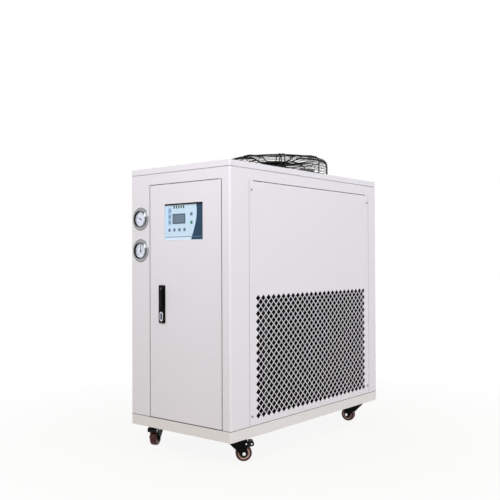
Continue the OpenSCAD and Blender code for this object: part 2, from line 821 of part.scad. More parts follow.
module fan_guard() color(black) translate([0, fan_y, cab_h]) {
    for (i = [0 : side_rings - 1]) guard_ring(guard_r, 6 + i * side_pitch);
    guard_ring(guard_r - shoulder * 0.32, guard_top - shoulder * 0.38);
    for (i = [0 : top_rings - 1]) guard_ring(guard_r - shoulder - i * top_pitch, guard_top);
    for (i = [0 : 3]) rotate([0, 0, foot_turn + i * 90]) {
        for (s = [-1, 1]) translate([0, s * arm_pair / 2, 0]) guard_arm();
        guard_foot();
    }
}

// External rotor motor: the stator hangs from the guard's supports
stator_r = 46;
stator_h = 22;
plate_r = 62;
plate_t = 4;
arm_low = guard_top - ring_d / 2 - arm_d + 0.8;
z_stator = cab_h + arm_low - plate_t;
rotor_gap = 1;
z_rotor = z_stator - stator_h - rotor_gap - rotor_h;
axle_r = 6;
axle_l = 40;
module fan_motor() color(black) translate([0, fan_y, 0]) {
    translate([0, 0, z_stator]) cylinder(r = plate_r, h = plate_t);
    translate([0, 0, z_stator - stator_h]) cylinder(r = stator_r, h = stator_h);
    translate([0, 0, z_stator - stator_h - axle_l]) cylinder(r = axle_r, h = axle_l);
}

// One sickle blade in its own plane, root at the rotor
module blade_outline() intersection() {
    difference() {
        circle(blade_r);
        circle(rotor_r - 8);
    }
    difference() {
        translate([86, -58]) circle(128);
        translate([92, -112]) circle(122);
    }
}

module fan_rotor() color(black) translate([0, fan_y, z_rotor]) difference() {
    union() {
        rotate_extrude() polygon([
            [0, 0], [rotor_r - 8, 0], [rotor_r, 8], [rotor_r, rotor_h - 4],
            [rotor_r - 4, rotor_h], [0, rotor_h]
        ]);
        intersection() {
            for (i = [0 : blades - 1]) rotate([0, 0, i * 360 / blades])
                translate([0, 0, rotor_h / 2]) rotate([blade_pitch, 0, 0])
                    linear_extrude(2.6, center = true) blade_outline();
            translate([0, 0, -30]) cylinder(r = blade_r, h = rotor_h + 60);
        }
    }
    translate([0, 0, rotor_h + rotor_gap - axle_l - 1]) cylinder(r = axle_r + fit, h = axle_l);
}

// Gauges
face_y = -half_d;
gauge_cx = -half_w + gauge_x;
flange_t = 1.5;
glass_t = 1.5;
glass_in = 1.5;
dial_t = 1;
needle_t = 0.8;
pivot_r = 1;
dial_y = face_y + 1;
module gauge_case() rotate([90, 0, 0]) rotate_extrude() {
    translate([dial_d / 2, 0]) square([(gauge_flange - dial_d) / 2, flange_t]);
    polygon([
        [dial_d / 2, -2], [dial_d / 2 + 2, -2], [dial_d / 2 + 2, gauge_rim - 2],
        [dial_d / 2 + 1, gauge_rim], [dial_d / 2 - 2, gauge_rim],
        [dial_d / 2 - 2, gauge_rim - glass_in], [dial_d / 2, gauge_rim - glass_in]
    ]);
    translate([dial_d / 2, -gauge_depth]) square([2, gauge_depth]);
    translate([pivot_r + fit, -gauge_depth]) square([dial_d / 2 - pivot_r - fit, gauge_depth - 2]);
}
module gauge_cases() color([0.78, 0.79, 0.80]) for (z = [gauge_z1, gauge_z2])
    translate([gauge_cx, face_y, z]) gauge_case();

module gauge_dials() color("white") for (z = [gauge_z1, gauge_z2])
    translate([gauge_cx, dial_y + 1, z]) rotate([90, 0, 0]) difference() {
        cylinder(r = dial_d / 2 - 0.2, h = dial_t);
        translate([0, 0, -eps]) cylinder(r = pivot_r + fit, h = dial_t + 2 * eps);
    }

module gauge_glasses() color([0.8, 0.9, 0.95, 0.3]) for (z = [gauge_z1, gauge_z2])
    rod_y(gauge_cx, face_y - gauge_rim + glass_in, z, dial_d / 2 - 0.1, glass_t);

// Needle that points up at turn 0, turning clockwise as seen from the front
module needle(z, turn) color([0.1, 0.1, 0.12]) translate([gauge_cx, dial_y - 1.2, z])
    rotate([0, turn, 0]) rotate([90, 0, 0]) {
        linear_extrude(needle_t) polygon([
            [-1.3, -dial_d * 0.14], [1.3, -dial_d * 0.14], [1.1, 0], [0.4, dial_d * 0.36],
            [-0.4, dial_d * 0.36], [-1.1, 0]
        ]);
        cylinder(r = 3, h = needle_t + 0.6);
        translate([0, 0, -8]) cylinder(r = pivot_r, h = 8);
    }
upper_turn = -60;
lower_turn = 0;
module needle_upper() needle(gauge_z1, upper_turn);
module needle_lower() needle(gauge_z2, lower_turn);

// Door
door_x0 = -half_w + strip_w + seam / 2;
door_x1 = half_w - post_w - seam / 2;
door_z0 = z_post + seam;
door_z1 = z_rail - seam;
hinge_x = door_x1 - pin_in;
hinge_y = -half_d + pin_back;
collar_r = 5;
collar_gap = 0.3;
ctl_x0 = (door_x0 + door_x1 - ctl_w) / 2 - ctl_off;
lock_x = door_x0 + lock_in;
spindle_z = lock_z + lock_h - 14;
button_z = lock_z + 24;
lock_play = 0.3;
lock_body_w = lock_w - 7;
lock_body_h = lock_h - 12;
lock_body_t = door_t - 3;

module hinge_pins() color(steel_colour) for (top = [0, 1])
    translate([hinge_x, hinge_y, top == 0 ? z_post : z_rail]) mirror([0, 0, top]) {
        cylinder(r = collar_r, h = seam - collar_gap);
        cylinder(r = pin_r, h = seam + boss_h - 2);
    }

module door_panel() color(sheet_colour) {
    w = door_x1 - door_x0;
    h = door_z1 - door_z0;
    difference() {
        union() {
            difference() {
                translate([door_x0, -half_d, door_z0]) cube([w, door_t, h]);
                translate([door_x0 + sheet, -half_d + sheet, door_z0 + sheet])
                    cube([w - 2 * sheet, door_t - 2 * sheet, h - 2 * sheet]);
                translate([door_x0 + door_lip, -half_d + sheet, door_z0 + door_lip])
                    cube([w - 2 * door_lip, door_t, h - 2 * door_lip]);
            }
            for (z = [door_z0, door_z1 - boss_h]) translate([hinge_x, hinge_y, z])
                cylinder(r = pin_r + 2, h = boss_h);
        }
        for (z = [door_z0 - eps, door_z1 - boss_h - eps]) translate([hinge_x, hinge_y, z])
            cylinder(r = pin_r + fit, h = boss_h + 2 * eps);
        translate([ctl_x0, -half_d - eps, ctl_z]) cube([ctl_w, sheet + 2 * eps, ctl_h]);
        translate([lock_x - lock_body_w / 2 - lock_play, -half_d - eps, lock_z + 6 - lock_play])
            cube([lock_body_w + 2 * lock_play, sheet + 2 * eps, lock_body_h + 2 * lock_play]);
    }
}

module door_gasket() color(black) along_y(-half_d + door_t, gasket_t) difference() {
    inset = (door_lip - gasket_w) / 2;
    translate([door_x0 + inset, door_z0 + inset])
        square([door_x1 - door_x0 - 2 * inset - pin_in, door_z1 - door_z0 - 2 * inset]);
    translate([door_x0 + inset + gasket_w, door_z0 + inset + gasket_w])
        square([
            door_x1 - door_x0 - 2 * inset - 2 * gasket_w - pin_in,
            door_z1 - door_z0 - 2 * inset - 2 * gasket_w
        ]);
}

// Control unit: moulded housing with a front rim, and the raised window of its display
module keypad_outline(play) translate([ctl_x0 + rim_wall + play, ctl_z + rim_wall + play])
    square([ctl_w - 2 * rim_wall - 2 * play, ctl_h - rim_wall - rim_top - 2 * play]);
ctl_play = 0.3;
key_y = -half_d + key_recess;
lcd_x0 = ctl_x0 + 37;
lcd_z0 = ctl_z + 59.5;
key_t = 0.6;
module control_housing() color(black) {
    difference() {
        translate([ctl_x0 + ctl_play, -half_d, ctl_z + ctl_play])
            cube([ctl_w - 2 * ctl_play, ctl_depth, ctl_h - 2 * ctl_play]);
        along_y(-half_d - eps, key_recess + key_t + eps) keypad_outline(0);
    }
    translate([lcd_x0, key_y, lcd_z0]) cube([lcd_w, key_t + eps, lcd_h]);
}

// Keypad sheet with embossed keys: four in a row and two beside the display
key_w = 9;
key_h = 12;
key_rise = 0.4;
key_places = concat(
    [for (i = [0 : 3]) [ctl_x0 + 21 + i * 25.5, ctl_z + 37.5]],
    [[ctl_x0 + 132, ctl_z + 92.5], [ctl_x0 + 132, ctl_z + 62.5]]
);
module keypad_sheet() color([0.66, 0.79, 0.90]) {
    along_y(key_y, key_t) difference() {
        keypad_outline(0.2);
        translate([lcd_x0 - 0.2, lcd_z0 - 0.2]) square([lcd_w + 0.4, lcd_h + 0.4]);
    }
    for (p = key_places) translate([p.x, key_y + key_t / 2, p.y]) rotate([90, 0, 0])
        linear_extrude(key_t / 2 + key_rise) rounded(key_w, key_h, 2);
}

// Door lock
plate_y = -half_d - lock_t;
module slot_shape(w, h) {
    square([w, h - w], center = true);
    for (s = [-1, 1]) translate([0, s * (h - w) / 2]) circle(w / 2);
}

module lock_plate() color(black) difference() {
    union() {
        translate([lock_x, -half_d, lock_z + lock_h / 2]) rotate([90, 0, 0])
            linear_extrude(lock_t) rounded(lock_w, lock_h, 4);
        translate([lock_x - lock_body_w / 2, -half_d, lock_z + 6])
            cube([lock_body_w, lock_body_t, lock_body_h]);
    }
    rod_y(lock_x, plate_y - eps, spindle_z, shaft_r + fit, lock_t + lock_body_t + 2 * eps);
    translate([lock_x, plate_y + lock_t + 8, button_z]) rotate([90, 0, 0])
        linear_extrude(lock_t + 8 + eps) slot_shape(btn_w + 2 * lock_play, btn_h + 2 * lock_play);
}

// The shaft with its cam and the block that the lever hangs on
block_w = 9;
hang_y = plate_y - lock_play - lever_t / 2;
cross_r = 1.3;
cam_t = 4;
cam_w = 16;
cam_y = -half_d + door_rebate + sheet + 0.5;
module lock_cam() color(steel_colour) difference() {
    union() {
        rod_y(lock_x, plate_y - lock_play, spindle_z, shaft_r, cam_y + cam_t - plate_y + lock_play);
        translate([lock_x - block_w / 2, hang_y, spindle_z - 5])
            cube([block_w, plate_y - lock_play - hang_y, 10]);
        translate([lock_x - block_w / 2, hang_y, spindle_z]) rotate([0, 90, 0])
            cylinder(r = lever_t / 2 - 0.7, h = block_w);
        translate([lock_x, cam_y + cam_t, spindle_z]) rotate([90, 0, 0]) linear_extrude(cam_t) {
            circle(cam_w / 2);
            translate([-cam_l + 4, -cam_w / 2]) square([cam_l - 4, cam_w]);
            translate([-cam_l + 4, 4 - cam_w / 2]) square([4, cam_w - 8]);
            translate([-cam_l, 4 - cam_w / 2]) square([4, cam_w - 8]);
        }
    }
    translate([lock_x - block_w, hang_y, spindle_z]) rotate([0, 90, 0])
        cylinder(r = cross_r + fit, h = 2 * block_w);
}

// Lever with its cross pin, rounded about the pin
module lock_lever() color(black) {
    slot = block_w + 2 * lock_play;
    difference() {
        translate([lock_x - lever_w / 2, hang_y, spindle_z]) rotate([90, 0, 90])
            linear_extrude(lever_w) {
                circle(lever_t / 2);
                translate([-lever_t / 2, -lever_l + 3]) square([lever_t, lever_l - 3]);
                translate([-lever_t / 2 + 2, -lever_l]) square([lever_t - 2, 3.01]);
            }
        translate([lock_x - slot / 2, hang_y - lever_t, spindle_z - lever_t / 2 - 4])
            cube([slot, 2 * lever_t, lever_t + 8]);
    }
    translate([lock_x - slot / 2 - 0.5, hang_y, spindle_z]) rotate([0, 90, 0])
        cylinder(r = cross_r, h = slot + 1);
}

module lock_button() color([0.75, 0.79, 0.84]) translate([lock_x, plate_y + 4, button_z])
    rotate([90, 0, 0]) linear_extrude(4 + btn_travel + 0.5) slot_shape(btn_w, btn_h);

// Castors
swivel_x = half_w - castor_in;
wheel_z = wheel_d / 2;
swivel_turns = [-65, 44, 135, 187];
plate_t2 = 3;
race_h = 4;
kingpin_r = 5;
fork_gap = 0.3;
crown_z = castor_h - plate_t2 - race_h - fork_gap;
fork_front = 33;
fork_back = 38;
cheek_in = wheel_w / 2 + 1.5;
axle_pin_r = 4;
pedal_x = trail + 8;
pedal_z = wheel_d + 4.5;
pedal_l = 19;
pedal_r = 9;
pedal_hub_r = 5;
pedal_pin_r = 2.5;
function castor_y(n) = n < 2 ? castor_end - half_d : half_d - castor_rear;
module at_castor(n) translate([corner_sx(n) * swivel_x, castor_y(n), 0]) children();

module castor_plates() color(black) for (n = [0 : 3]) at_castor(n) {
    translate([0, 0, castor_h - plate_t2]) linear_extrude(plate_t2) difference() {
        rounded(plate_w, plate_w + 8, 6);
        for (sx = [-1, 1], sy = [-1, 1])
            translate([sx * (plate_w / 2 - 9), sy * (plate_w / 2 - 5)]) circle(d = 6.5);
    }
    translate([0, 0, castor_h - plate_t2 - race_h]) cylinder(r = 21, h = race_h);
    translate([0, 0, crown_z - 7]) cylinder(r = kingpin_r, h = castor_h - plate_t2 - crown_z + 7);
    translate([0, 0, crown_z - 7]) cylinder(r = 9, h = 3);
}

// Side view of a fork cheek: wide under the crown and narrow at the axle
module cheek_shape(braked) {
    difference() {
        union() {
            polygon([
                [-fork_front, crown_z], [-fork_front, crown_z - 4], [trail - 13, wheel_z - 2],
                [trail + 11, wheel_z], [trail + 12, pedal_z - 6], [fork_back, crown_z]
            ]);
            translate([trail, wheel_z]) circle(11);
            if (braked) translate([pedal_x, pedal_z]) circle(7);
        }
        if (braked) translate([pedal_x, pedal_z]) circle(pedal_pin_r + fit);
    }
}

module fork(n) color(black) at_castor(n) rotate([0, 0, swivel_turns[n]]) {
    for (s = [-1, 1]) translate([0, s * (cheek_in + cheek_t / 2) + cheek_t / 2, 0])
        rotate([90, 0, 0]) linear_extrude(cheek_t) cheek_shape(n < 2);
    difference() {
        translate([0, 0, crown_z - 3.5]) linear_extrude(3.5) union() {
            circle(24);
            translate([-fork_front, -cheek_in - cheek_t])
                square([fork_front + fork_back, 2 * (cheek_in + cheek_t)]);
        }
        translate([0, 0, crown_z - 5]) cylinder(r = kingpin_r + fit, h = 6);
    }
    translate([trail, cheek_in + cheek_t + 5, wheel_z]) rotate([90, 0, 0]) {
        cylinder(r = axle_pin_r, h = 2 * (cheek_in + cheek_t + 5));
        cylinder(r = 7, h = 5, $fn = 6);
        translate([0, 0, 2 * (cheek_in + cheek_t) + 5]) cylinder(r = 7, h = 5, $fn = 6);
    }
}
module fork_front_left() fork(0);
module fork_front_right() fork(1);
module fork_rear_left() fork(2);
module fork_rear_right() fork(3);

// Wheel with a crowned tread and dished sides
module wheel(n) color([0.42, 0.14, 0.09]) at_castor(n) rotate([0, 0, swivel_turns[n]])
    translate([trail, 0, wheel_z]) rotate([90, 0, 0]) rotate_extrude() {
        r = wheel_d / 2;
        w = wheel_w / 2;
        polygon([
            [axle_pin_r + fit, -w], [r * 0.40, -w], [r * 0.46, -w + 3], [r * 0.68, -w + 3],
            [r * 0.74, -w], [r - 4, -w], [r - 1, -w + 3], [r, -w + 8], [r, w - 8],
            [r - 1, w - 3], [r - 4, w], [r * 0.74, w], [r * 0.68, w - 3], [r * 0.46, w - 3],
            [r * 0.40, w], [axle_pin_r + fit, w]
        ]);
    }
module wheel_front_left() wheel(0);
module wheel_front_right() wheel(1);
module wheel_rear_left() wheel(2);
module wheel_rear_right() wheel(3);

// Brake pedal: a narrow hub on its pin between the cheeks, and a wide end behind them
module brake_pedal(n) color(black) at_castor(n) rotate([0, 0, swivel_turns[n]]) {
    narrow = cheek_in - 0.5;
    wide = cheek_in + cheek_t;
    translate([pedal_x, narrow, pedal_z]) rotate([90, 0, 0]) linear_extrude(2 * narrow) {
        circle(pedal_hub_r);
        translate([0, -pedal_hub_r]) square([pedal_l, 2 * pedal_hub_r]);
    }
    translate([pedal_x, wide, pedal_z]) rotate([90, 0, 0]) linear_extrude(2 * wide) {
        translate([pedal_l, 0]) circle(pedal_r);
        translate([8, -pedal_r]) square([pedal_l - 8, 2 * pedal_r]);
    }
    translate([pedal_x, wide + 1, pedal_z]) rotate([90, 0, 0]) {
        cylinder(r = pedal_pin_r, h = 2 * (wide + 1));
        translate([pedal_l, 0, 0]) cylinder(r = pedal_pin_r, h = 2 * (wide + 1));
    }
}
module brake_front_left() brake_pedal(0);
module brake_front_right() brake_pedal(1);

base_frame();
base_floor();
gauge_strip();
post_front_right();
rear_posts();
upper_frame();
top_cover();
side_panel_right();
side_panel_left();
rear_panel();
cover_screws();
bulkhead();
mounting_plate();
circuit_breaker();
contactors();
condenser_core();
condenser_tubes();
compressor();
compressor_feet();
heat_exchanger();
discharge_pipe();
liquid_pipe();
suction_pipe();
water_tank();
tank_lid();
pump_motor();
pump_casing();
supply_pipe();
return_pipe();
hose_sockets();
cable_gland();
fan_duct();
fan_guard();
fan_motor();
gauge_cases();
gauge_dials();
gauge_glasses();
hinge_pins();
castor_plates();
door_panel();
door_gasket();
control_housing();
keypad_sheet();
lock_plate();
lock_cam();
lock_lever();
lock_button();
fan_rotor();
needle_upper();
needle_lower();
fork_front_left();
fork_front_right();
fork_rear_left();
fork_rear_right();
wheel_front_left();
wheel_front_right();
wheel_rear_left();
wheel_rear_right();
brake_front_left();
brake_front_right();
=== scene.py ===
# Recirculating chiller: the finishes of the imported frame, and its fine visible detail.
# The frame is in metres: X right, -Y front, Z up, with the floor at zero. Shapes are drawn
# here in millimetres, and piece() brings them to metres. Floor, lamps and camera are in metres.
import json
import math

import bmesh
import bpy
from mathutils import Matrix, Vector

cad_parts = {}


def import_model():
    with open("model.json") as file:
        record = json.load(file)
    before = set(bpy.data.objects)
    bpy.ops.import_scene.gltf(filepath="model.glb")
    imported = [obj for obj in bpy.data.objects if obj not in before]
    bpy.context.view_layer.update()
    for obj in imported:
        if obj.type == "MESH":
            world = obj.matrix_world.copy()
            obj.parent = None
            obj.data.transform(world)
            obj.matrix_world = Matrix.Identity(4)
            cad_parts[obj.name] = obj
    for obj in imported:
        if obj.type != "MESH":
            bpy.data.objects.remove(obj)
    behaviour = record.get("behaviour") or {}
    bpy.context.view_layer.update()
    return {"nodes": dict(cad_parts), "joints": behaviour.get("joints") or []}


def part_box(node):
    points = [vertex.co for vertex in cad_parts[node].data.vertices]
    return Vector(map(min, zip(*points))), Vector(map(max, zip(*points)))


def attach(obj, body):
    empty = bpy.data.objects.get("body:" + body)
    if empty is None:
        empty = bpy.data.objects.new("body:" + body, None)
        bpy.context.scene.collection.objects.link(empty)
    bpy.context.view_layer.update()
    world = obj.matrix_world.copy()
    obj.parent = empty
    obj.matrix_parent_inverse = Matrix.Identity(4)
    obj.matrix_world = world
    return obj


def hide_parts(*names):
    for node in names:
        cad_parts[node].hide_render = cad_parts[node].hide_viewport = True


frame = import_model()
MM = 0.001


def corners(node):
    """Lowest and highest corner of a node, in millimetres."""
    lo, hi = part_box(node)
    return lo / MM, hi / MM


# Segments of round shapes
HEXAGON = 6
GAUGE_SEGMENTS = 96
RING_SEGMENTS = 96
RING_SIDES = 8
ARM_SIDES = 12
ARM_STEPS = 8
TREAD_SEGMENTS = 72
HUB_SEGMENTS = 64
RIVET_SEGMENTS = 24
SCREW_SEGMENTS = 20
HOLE_SEGMENTS = 16

# Punched side panel
GRILLE_COLUMNS = 25
GRILLE_ROWS = 16
GRILLE_PITCH_Y = 30.3
GRILLE_PITCH_Z = 27.7
GRILLE_FIRST_Y = -343
GRILLE_FIRST_Z = 155.5
DIAMOND_W = 26.7
DIAMOND_H = 23.7
SHEET = 1.5
HEM_INSET = 28
PUNCH_ROLL = 0.25
PANEL_DROP = 1.5

# Panel screws, as offsets from the panels' edges
SCREW_IN = 12.25
SCREW_END = 31
SCREW_HOLE_R = 2.65
SOCKET_R = 1.7

# Painted shade: dark strips in the joint above the base, and in the upright gaps of door and side
# panel
BASE_SHADE_H = 1.6
BASE_SHADE_PROUD = 0.15
BASE_SHADE_IN = 1.5
CORNER_R = 7
DOOR_GAP = 3
GAP_SHADE_DEPTH = 15
GAP_SHADE_CLEAR = 0.05
STRIP_SHADE_EDGE = 0.6
STRIP_SHADE_BACK = 0.4
DOOR_SHADE_EDGE = 0.35
DOOR_SHADE_BACK = 0.6
PANEL_SHADE_CLEAR = 0.1
PANEL_SHADE_W = 1.3
PANEL_SHADE_BACK = 0.4
PANEL_SHADE_T = 1.0

# Fan guard of coated wire
GUARD_R = 218
RING_R = 1.15
SIDE_RINGS = 5
LOWEST_RING = 8
SHOULDER = 22
SHOULDER_RINGS = 5
EDGE_RINGS = 7
EDGE_PITCH = 8
MIDDLE_RINGS = 3
MIDDLE_PITCH = 25
DOME_RISE = 12

# The guard's thicker wires, single ones and pairs in turn, and the feet of the pairs
ARMS = 8
ARM_R = 2.2
ARM_HALF_PAIR = 7
ARM_LAP = 0.4
ARM_DIP_R = 96
ARM_LOW_R = 61
ARM_BEND_OUT = 5
ARM_BEND_UP = 2
ARM_END = 44
SINGLE_BELOW_RING = 3
FOOT_SIDE = 38
FOOT_T = 3
FOOT_CORNER = 5
FOOT_LAP = 14

# Gauges: radii, and heights over the front sheet
DIAL_R = 28
RIM_IN = 28.6
RIM_MID = 30.7
RIM_OUT = 32
RIM_TOP = 7
PANE_TOP = 5.5
CASE_IN = 30
CASE_FLOOR = -2
CASE_BACK = -30
SPINDLE_R = 1.05
THROAT_TOP = 3.9
THROAT_FOOT = -0.95
THROAT_OUT = 29.9
# Painted shade: a black ring just outside the flange, for the shade at the flange's edge
OUTLINE_SHADE_PROUD = 0.7
OUTLINE_SHADE_T = 0.5

# Dials: marks are written as length and half width
UPPER_NUMBERS = [0, 5, 10, 15, 20, 25]
LOWER_NUMBERS = [0, 1, 2, 3, 4, 5, 6]
SCALE_SWEEP = 270
SCALE_IN = 2.4
MARKS_EACH = 5
LONG_MARK = (4.0, 0.42)
SHORT_MARK = (2.2, 0.2)
MARK_T = 0.06
ARC_STEPS = 60
ARC_W = 0.35
NUMBER_IN = 9.6
NUMBER_SIZE = 5.2
NUMBER_LIFT = 0.04

# Keypad print: places are offsets from the control unit's lower left corner, and a pad is
# its width, its height and the radius of its corners
SHEET_INSET = 1.2
KEY_RISE = 0.4
PRINT = 0.08
NAVY_CURVE = [(129, 0), (135.5, 16), (142, 32), (148.5, 51), (153.5, 67), (156.9, 84),
              (157.9, 101), (157.1, 117), (156, 128.5)]
CURVE_STEPS = 24
LINE_Z = 10.3
LINE_H = 3
DARK_LINE_T = 1.6 * PRINT
WINDOW = (69, 77.5)
FRAME_PAD = (64.6, 36.6, 1.5)
FRAME_T = 0.25
DISPLAY_PAD = (56, 29, 1)
DISPLAY_T = 0.32
KEY_PAD = (10.8, 11.4, 2)
KEY_ROW = [(21 + i * 25.5, 37.5) for i in range(4)]
UPPER_KEY = (132, 92.5)
GREEN_KEY = (132, 62.5)
SIGNAL_X = 22.4
SIGNAL_FIELD_Z = 87.5
SIGNAL_FIELD_PAD = (17.5, 63, 1)
SIGNALS = [(SIGNAL_X, z) for z in (65, 86, 108)]
SIGNAL_PAD = (9, 11, 2)
LAMP_ROW = [(45 + i * 12, 120) for i in range(5)]
LAMP_PAD = (6.4, 11, 1.5)
LENS_T = 0.3
FILM_PROUD = 0.1
FILM_LAP_LEFT = 0.3
FILM_LAP = 0.2

# Door lock: levels are written as inset and distance below the button's top
BUTTON_STEPS = 12
ROUND_SPARE = 0.01
BUTTON_LEVELS = [(0, 1.2), (0.5, 0.3), (1.3, 0), (2.6, 0), (3.2, 0.6)]
CORE_SHARE_W, CORE_SHARE_H = 0.58, 0.78
CORE_LEVELS = [(0, 1.0), (0, 0.5), (1.0, 0.1), (2.2, 0)]
# Painted highlight: a lighter, matt strip down the lever's face, for the sheen on its rounded front
HIGHLIGHT_W = 15.5
HIGHLIGHT_T = 0.25
HIGHLIGHT_TOP = 12
HIGHLIGHT_FOOT = 4.5
HIGHLIGHT_CORNER = 2

# Electrics: terminal screws as name, node, number across, distance from the edge and radius
TERMINALS = [("breaker_screws", "circuit_breaker", 4, 5, 2.4),
             ("contactor_screws", "contactors", 8, 6, 2.2)]
HEAD_T = 0.7
HEAD_SIDE = 0.4
HEAD_CHAMFER = 0.4
FIELD_NARROWER = 6
FIELD_H = 14
FIELD_T = 0.4
FIELD_CORNER = 1

# Castors: the tread's edge is written as inset from the rim and distance from the side
CASTORS = ["front_left", "front_right", "rear_left", "rear_right"]
WHEEL_HALF = 13
TREAD_EDGE = [(4, 0), (2.0, 1.2), (0.6, 4), (0, 8)]
HUB_SHARE = 0.72
HUB_LIP = 1.2
HUB_LIP_IN = 1.5
HUB_RING_IN, HUB_RING_OUT = 1.6, 1.2
HUB_DISC_SHARE = 0.57
HUB_DISC_LAP = 0.1
HUB_DISC_IN = 3
BOSS_SHARE, BOSS_FOOT_SHARE = 0.30, 0.34
AXLE_R = 4.05
FORK_HALF = 17.5
NUT_R = 6.4
NUT_T = 5.0
PIN_R, PIN_TOP_R = 4.0, 3.2
PIN_SIDE, PIN_OUT = 0.9, 1.5
RIVET_HALF = 18.4
RIVET = [(0, 0), (2.9, 0), (2.7, 0.7), (1.6, 1.3), (0, 1.5)]
PEDAL_PIN = 8
PEDAL_END = 27

# Noise values between these cover the whole range of a finish
NOISE_LOW, NOISE_HIGH = 0.3, 0.7
# Blender's wave texture turns by this many radians per unit at scale 1
WAVE_TURN = 20

# Floor, light and camera, in metres
FLOOR_HALF = 30
FLOOR_Z = -0.0005
FLOOR_COLOUR = (0.58, 0.51, 0.40)
FLOOR_ROUGH = 0.9
FLOOR_GLOW = 0.9
GLOW_FROM, GLOW_TO = 0.5, 1.6
WORLD_LIGHT = 0.39
WHITE = (1, 1, 1)
# Name, place, target, size, watts and colour of each lamp
STUDIO = [
    ("key", (0.5, -2.2, 2.25), (0, -0.5, 1.15), (1.8, 1.2), 40, (0.955, 0.96, 1.0)),
    ("side", (4.0, 0.2, 2.4), (0, 0, 0.6), (2.4, 2.0), 82, (0.91, 0.935, 1.0)),
    ("top", (0, 0.2, 3.4), (0, 0, 0), (2.6, 2.6), 6, WHITE),
    ("rear", (-2.8, 2.8, 2.2), (0, 0, 0.6), (2.0, 2.0), 30, WHITE),
]
CAMERA_SENSOR = 36.0
CAMERA_LENS = 51.73
CAMERA_NEAR = 0.05
CAMERA_PLACE = (1.846, -2.336, 0.708)
CAMERA_YAW, CAMERA_PITCH, CAMERA_ROLL = 39.33, -0.76, -0.22


# Colours

def srgb(red, green, blue):
    """Linear colour of an 8 bit display colour."""
    def linear(value):
        v = value / 255
        return v / 12.92 if v <= 0.04045 else ((v + 0.055) / 1.055) ** 2.4
    return linear(red), linear(green), linear(blue)


def shade(colour, factor):
    return tuple(min(1.0, c * factor) for c in colour)


# Materials

def coordinates(nodes, links, stretch):
    """Object coordinates, stretched along an axis for brushed or drawn surfaces."""
    place = nodes.new("ShaderNodeTexCoord")
    mapping = nodes.new("ShaderNodeMapping")
    mapping.inputs["Scale"].default_value = stretch
    links.new(place.outputs["Object"], mapping.inputs["Vector"])
    return mapping.outputs["Vector"]


def noise(nodes, links, where, scale, detail):
    texture = nodes.new("ShaderNodeTexNoise")
    texture.inputs["Scale"].default_value = scale
    texture.inputs["Detail"].default_value = detail
    links.new(where, texture.inputs["Vector"])
    return texture.outputs["Fac"]


def spread(nodes, links, value, low, high):
    """Maps the middle of a noise to the range from low to high."""
    node = nodes.new("ShaderNodeMapRange")
    node.inputs["From Min"].default_value = NOISE_LOW
    node.inputs["From Max"].default_value = NOISE_HIGH
    node.inputs["To Min"].default_value = low
    node.inputs["To Max"].default_value = high
    links.new(value, node.inputs["Value"])
    return node.outputs["Result"]


def finish(name, colour, rough, metallic=0.0, *, grain, variation, height=0.00004, mottle=6,
           rough_spread=0.05, stretch=(1, 1, 1), coat=0.0, second=None, specular=0.5):
    """A surface whose colour, gloss and grain vary gently, at the scale of the real finish."""
    material = bpy.data.materials.new(name)
    material.use_nodes = True
    nodes, links = material.node_tree.nodes, material.node_tree.links
    shader = nodes["Principled BSDF"]
    shader.inputs["Metallic"].default_value = metallic
    shader.inputs["Coat Weight"].default_value = coat
    shader.inputs["Specular IOR Level"].default_value = specular
    where = coordinates(nodes, links, stretch)
    patches = noise(nodes, links, where, mottle, 4.0)
    fine = noise(nodes, links, where, grain, 2.0)
    mix = nodes.new("ShaderNodeMixRGB")
    mix.inputs["Color1"].default_value = (*shade(colour, 1 - variation), 1)
    mix.inputs["Color2"].default_value = (*shade(second or colour, 1 + variation), 1)
    links.new(spread(nodes, links, patches, 0, 1), mix.inputs["Fac"])
    links.new(mix.outputs["Color"], shader.inputs["Base Color"])
    links.new(spread(nodes, links, fine, rough - rough_spread, rough + rough_spread),
              shader.inputs["Roughness"])
    bump = nodes.new("ShaderNodeBump")
    bump.inputs["Strength"].default_value = 1.0
    bump.inputs["Distance"].default_value = height
    links.new(fine, bump.inputs["Height"])
    links.new(bump.outputs["Normal"], shader.inputs["Normal"])
    return material


def clear_glass(name):
    """Thin pane with a faint smear in its gloss."""
    material = finish(name, (0.97, 0.98, 1.0), 0.03, grain=60, height=0.0, variation=0.01,
                      rough_spread=0.02)
    shader = material.node_tree.nodes["Principled BSDF"]
    shader.inputs["Transmission Weight"].default_value = 1.0
    shader.inputs["IOR"].default_value = 1.2
    return material


def finned(name, colour, pitch):
    """Fins: fine bands along Y, with painted shade darkening the gaps between them."""
    material = finish(name, colour, 0.8, grain=300, variation=0.1, specular=0.05)
    nodes, links = material.node_tree.nodes, material.node_tree.links
    bands = nodes.new("ShaderNodeTexWave")
    bands.bands_direction = "Y"
    bands.inputs["Scale"].default_value = 2 * math.pi / (WAVE_TURN * pitch)
    links.new(coordinates(nodes, links, (1, 1, 1)), bands.inputs["Vector"])
    shader = nodes["Principled BSDF"]
    dark = nodes.new("ShaderNodeMixRGB")
    dark.blend_type = "MULTIPLY"
    dark.inputs["Fac"].default_value = 0.8
    links.new(shader.inputs["Base Color"].links[0].from_socket, dark.inputs["Color1"])
    links.new(bands.outputs["Color"], dark.inputs["Color2"])
    links.new(dark.outputs["Color"], shader.inputs["Base Color"])
    return material


def printed(name, colour, rough=0.3, variation=0.04, specular=0.35):
    """Ink under the keypad's clear film."""
    return finish(name, colour, rough, grain=1600, height=0.00001, mottle=40,
                  variation=variation, specular=specular)


def black(name, rough, level, grain, height=0.00005, specular=0.2):
    """Black paint, plastic or rubber."""
    return finish(name, (level, level, level * 1.08), rough, grain=grain, height=height,
                  variation=0.2, specular=specular)


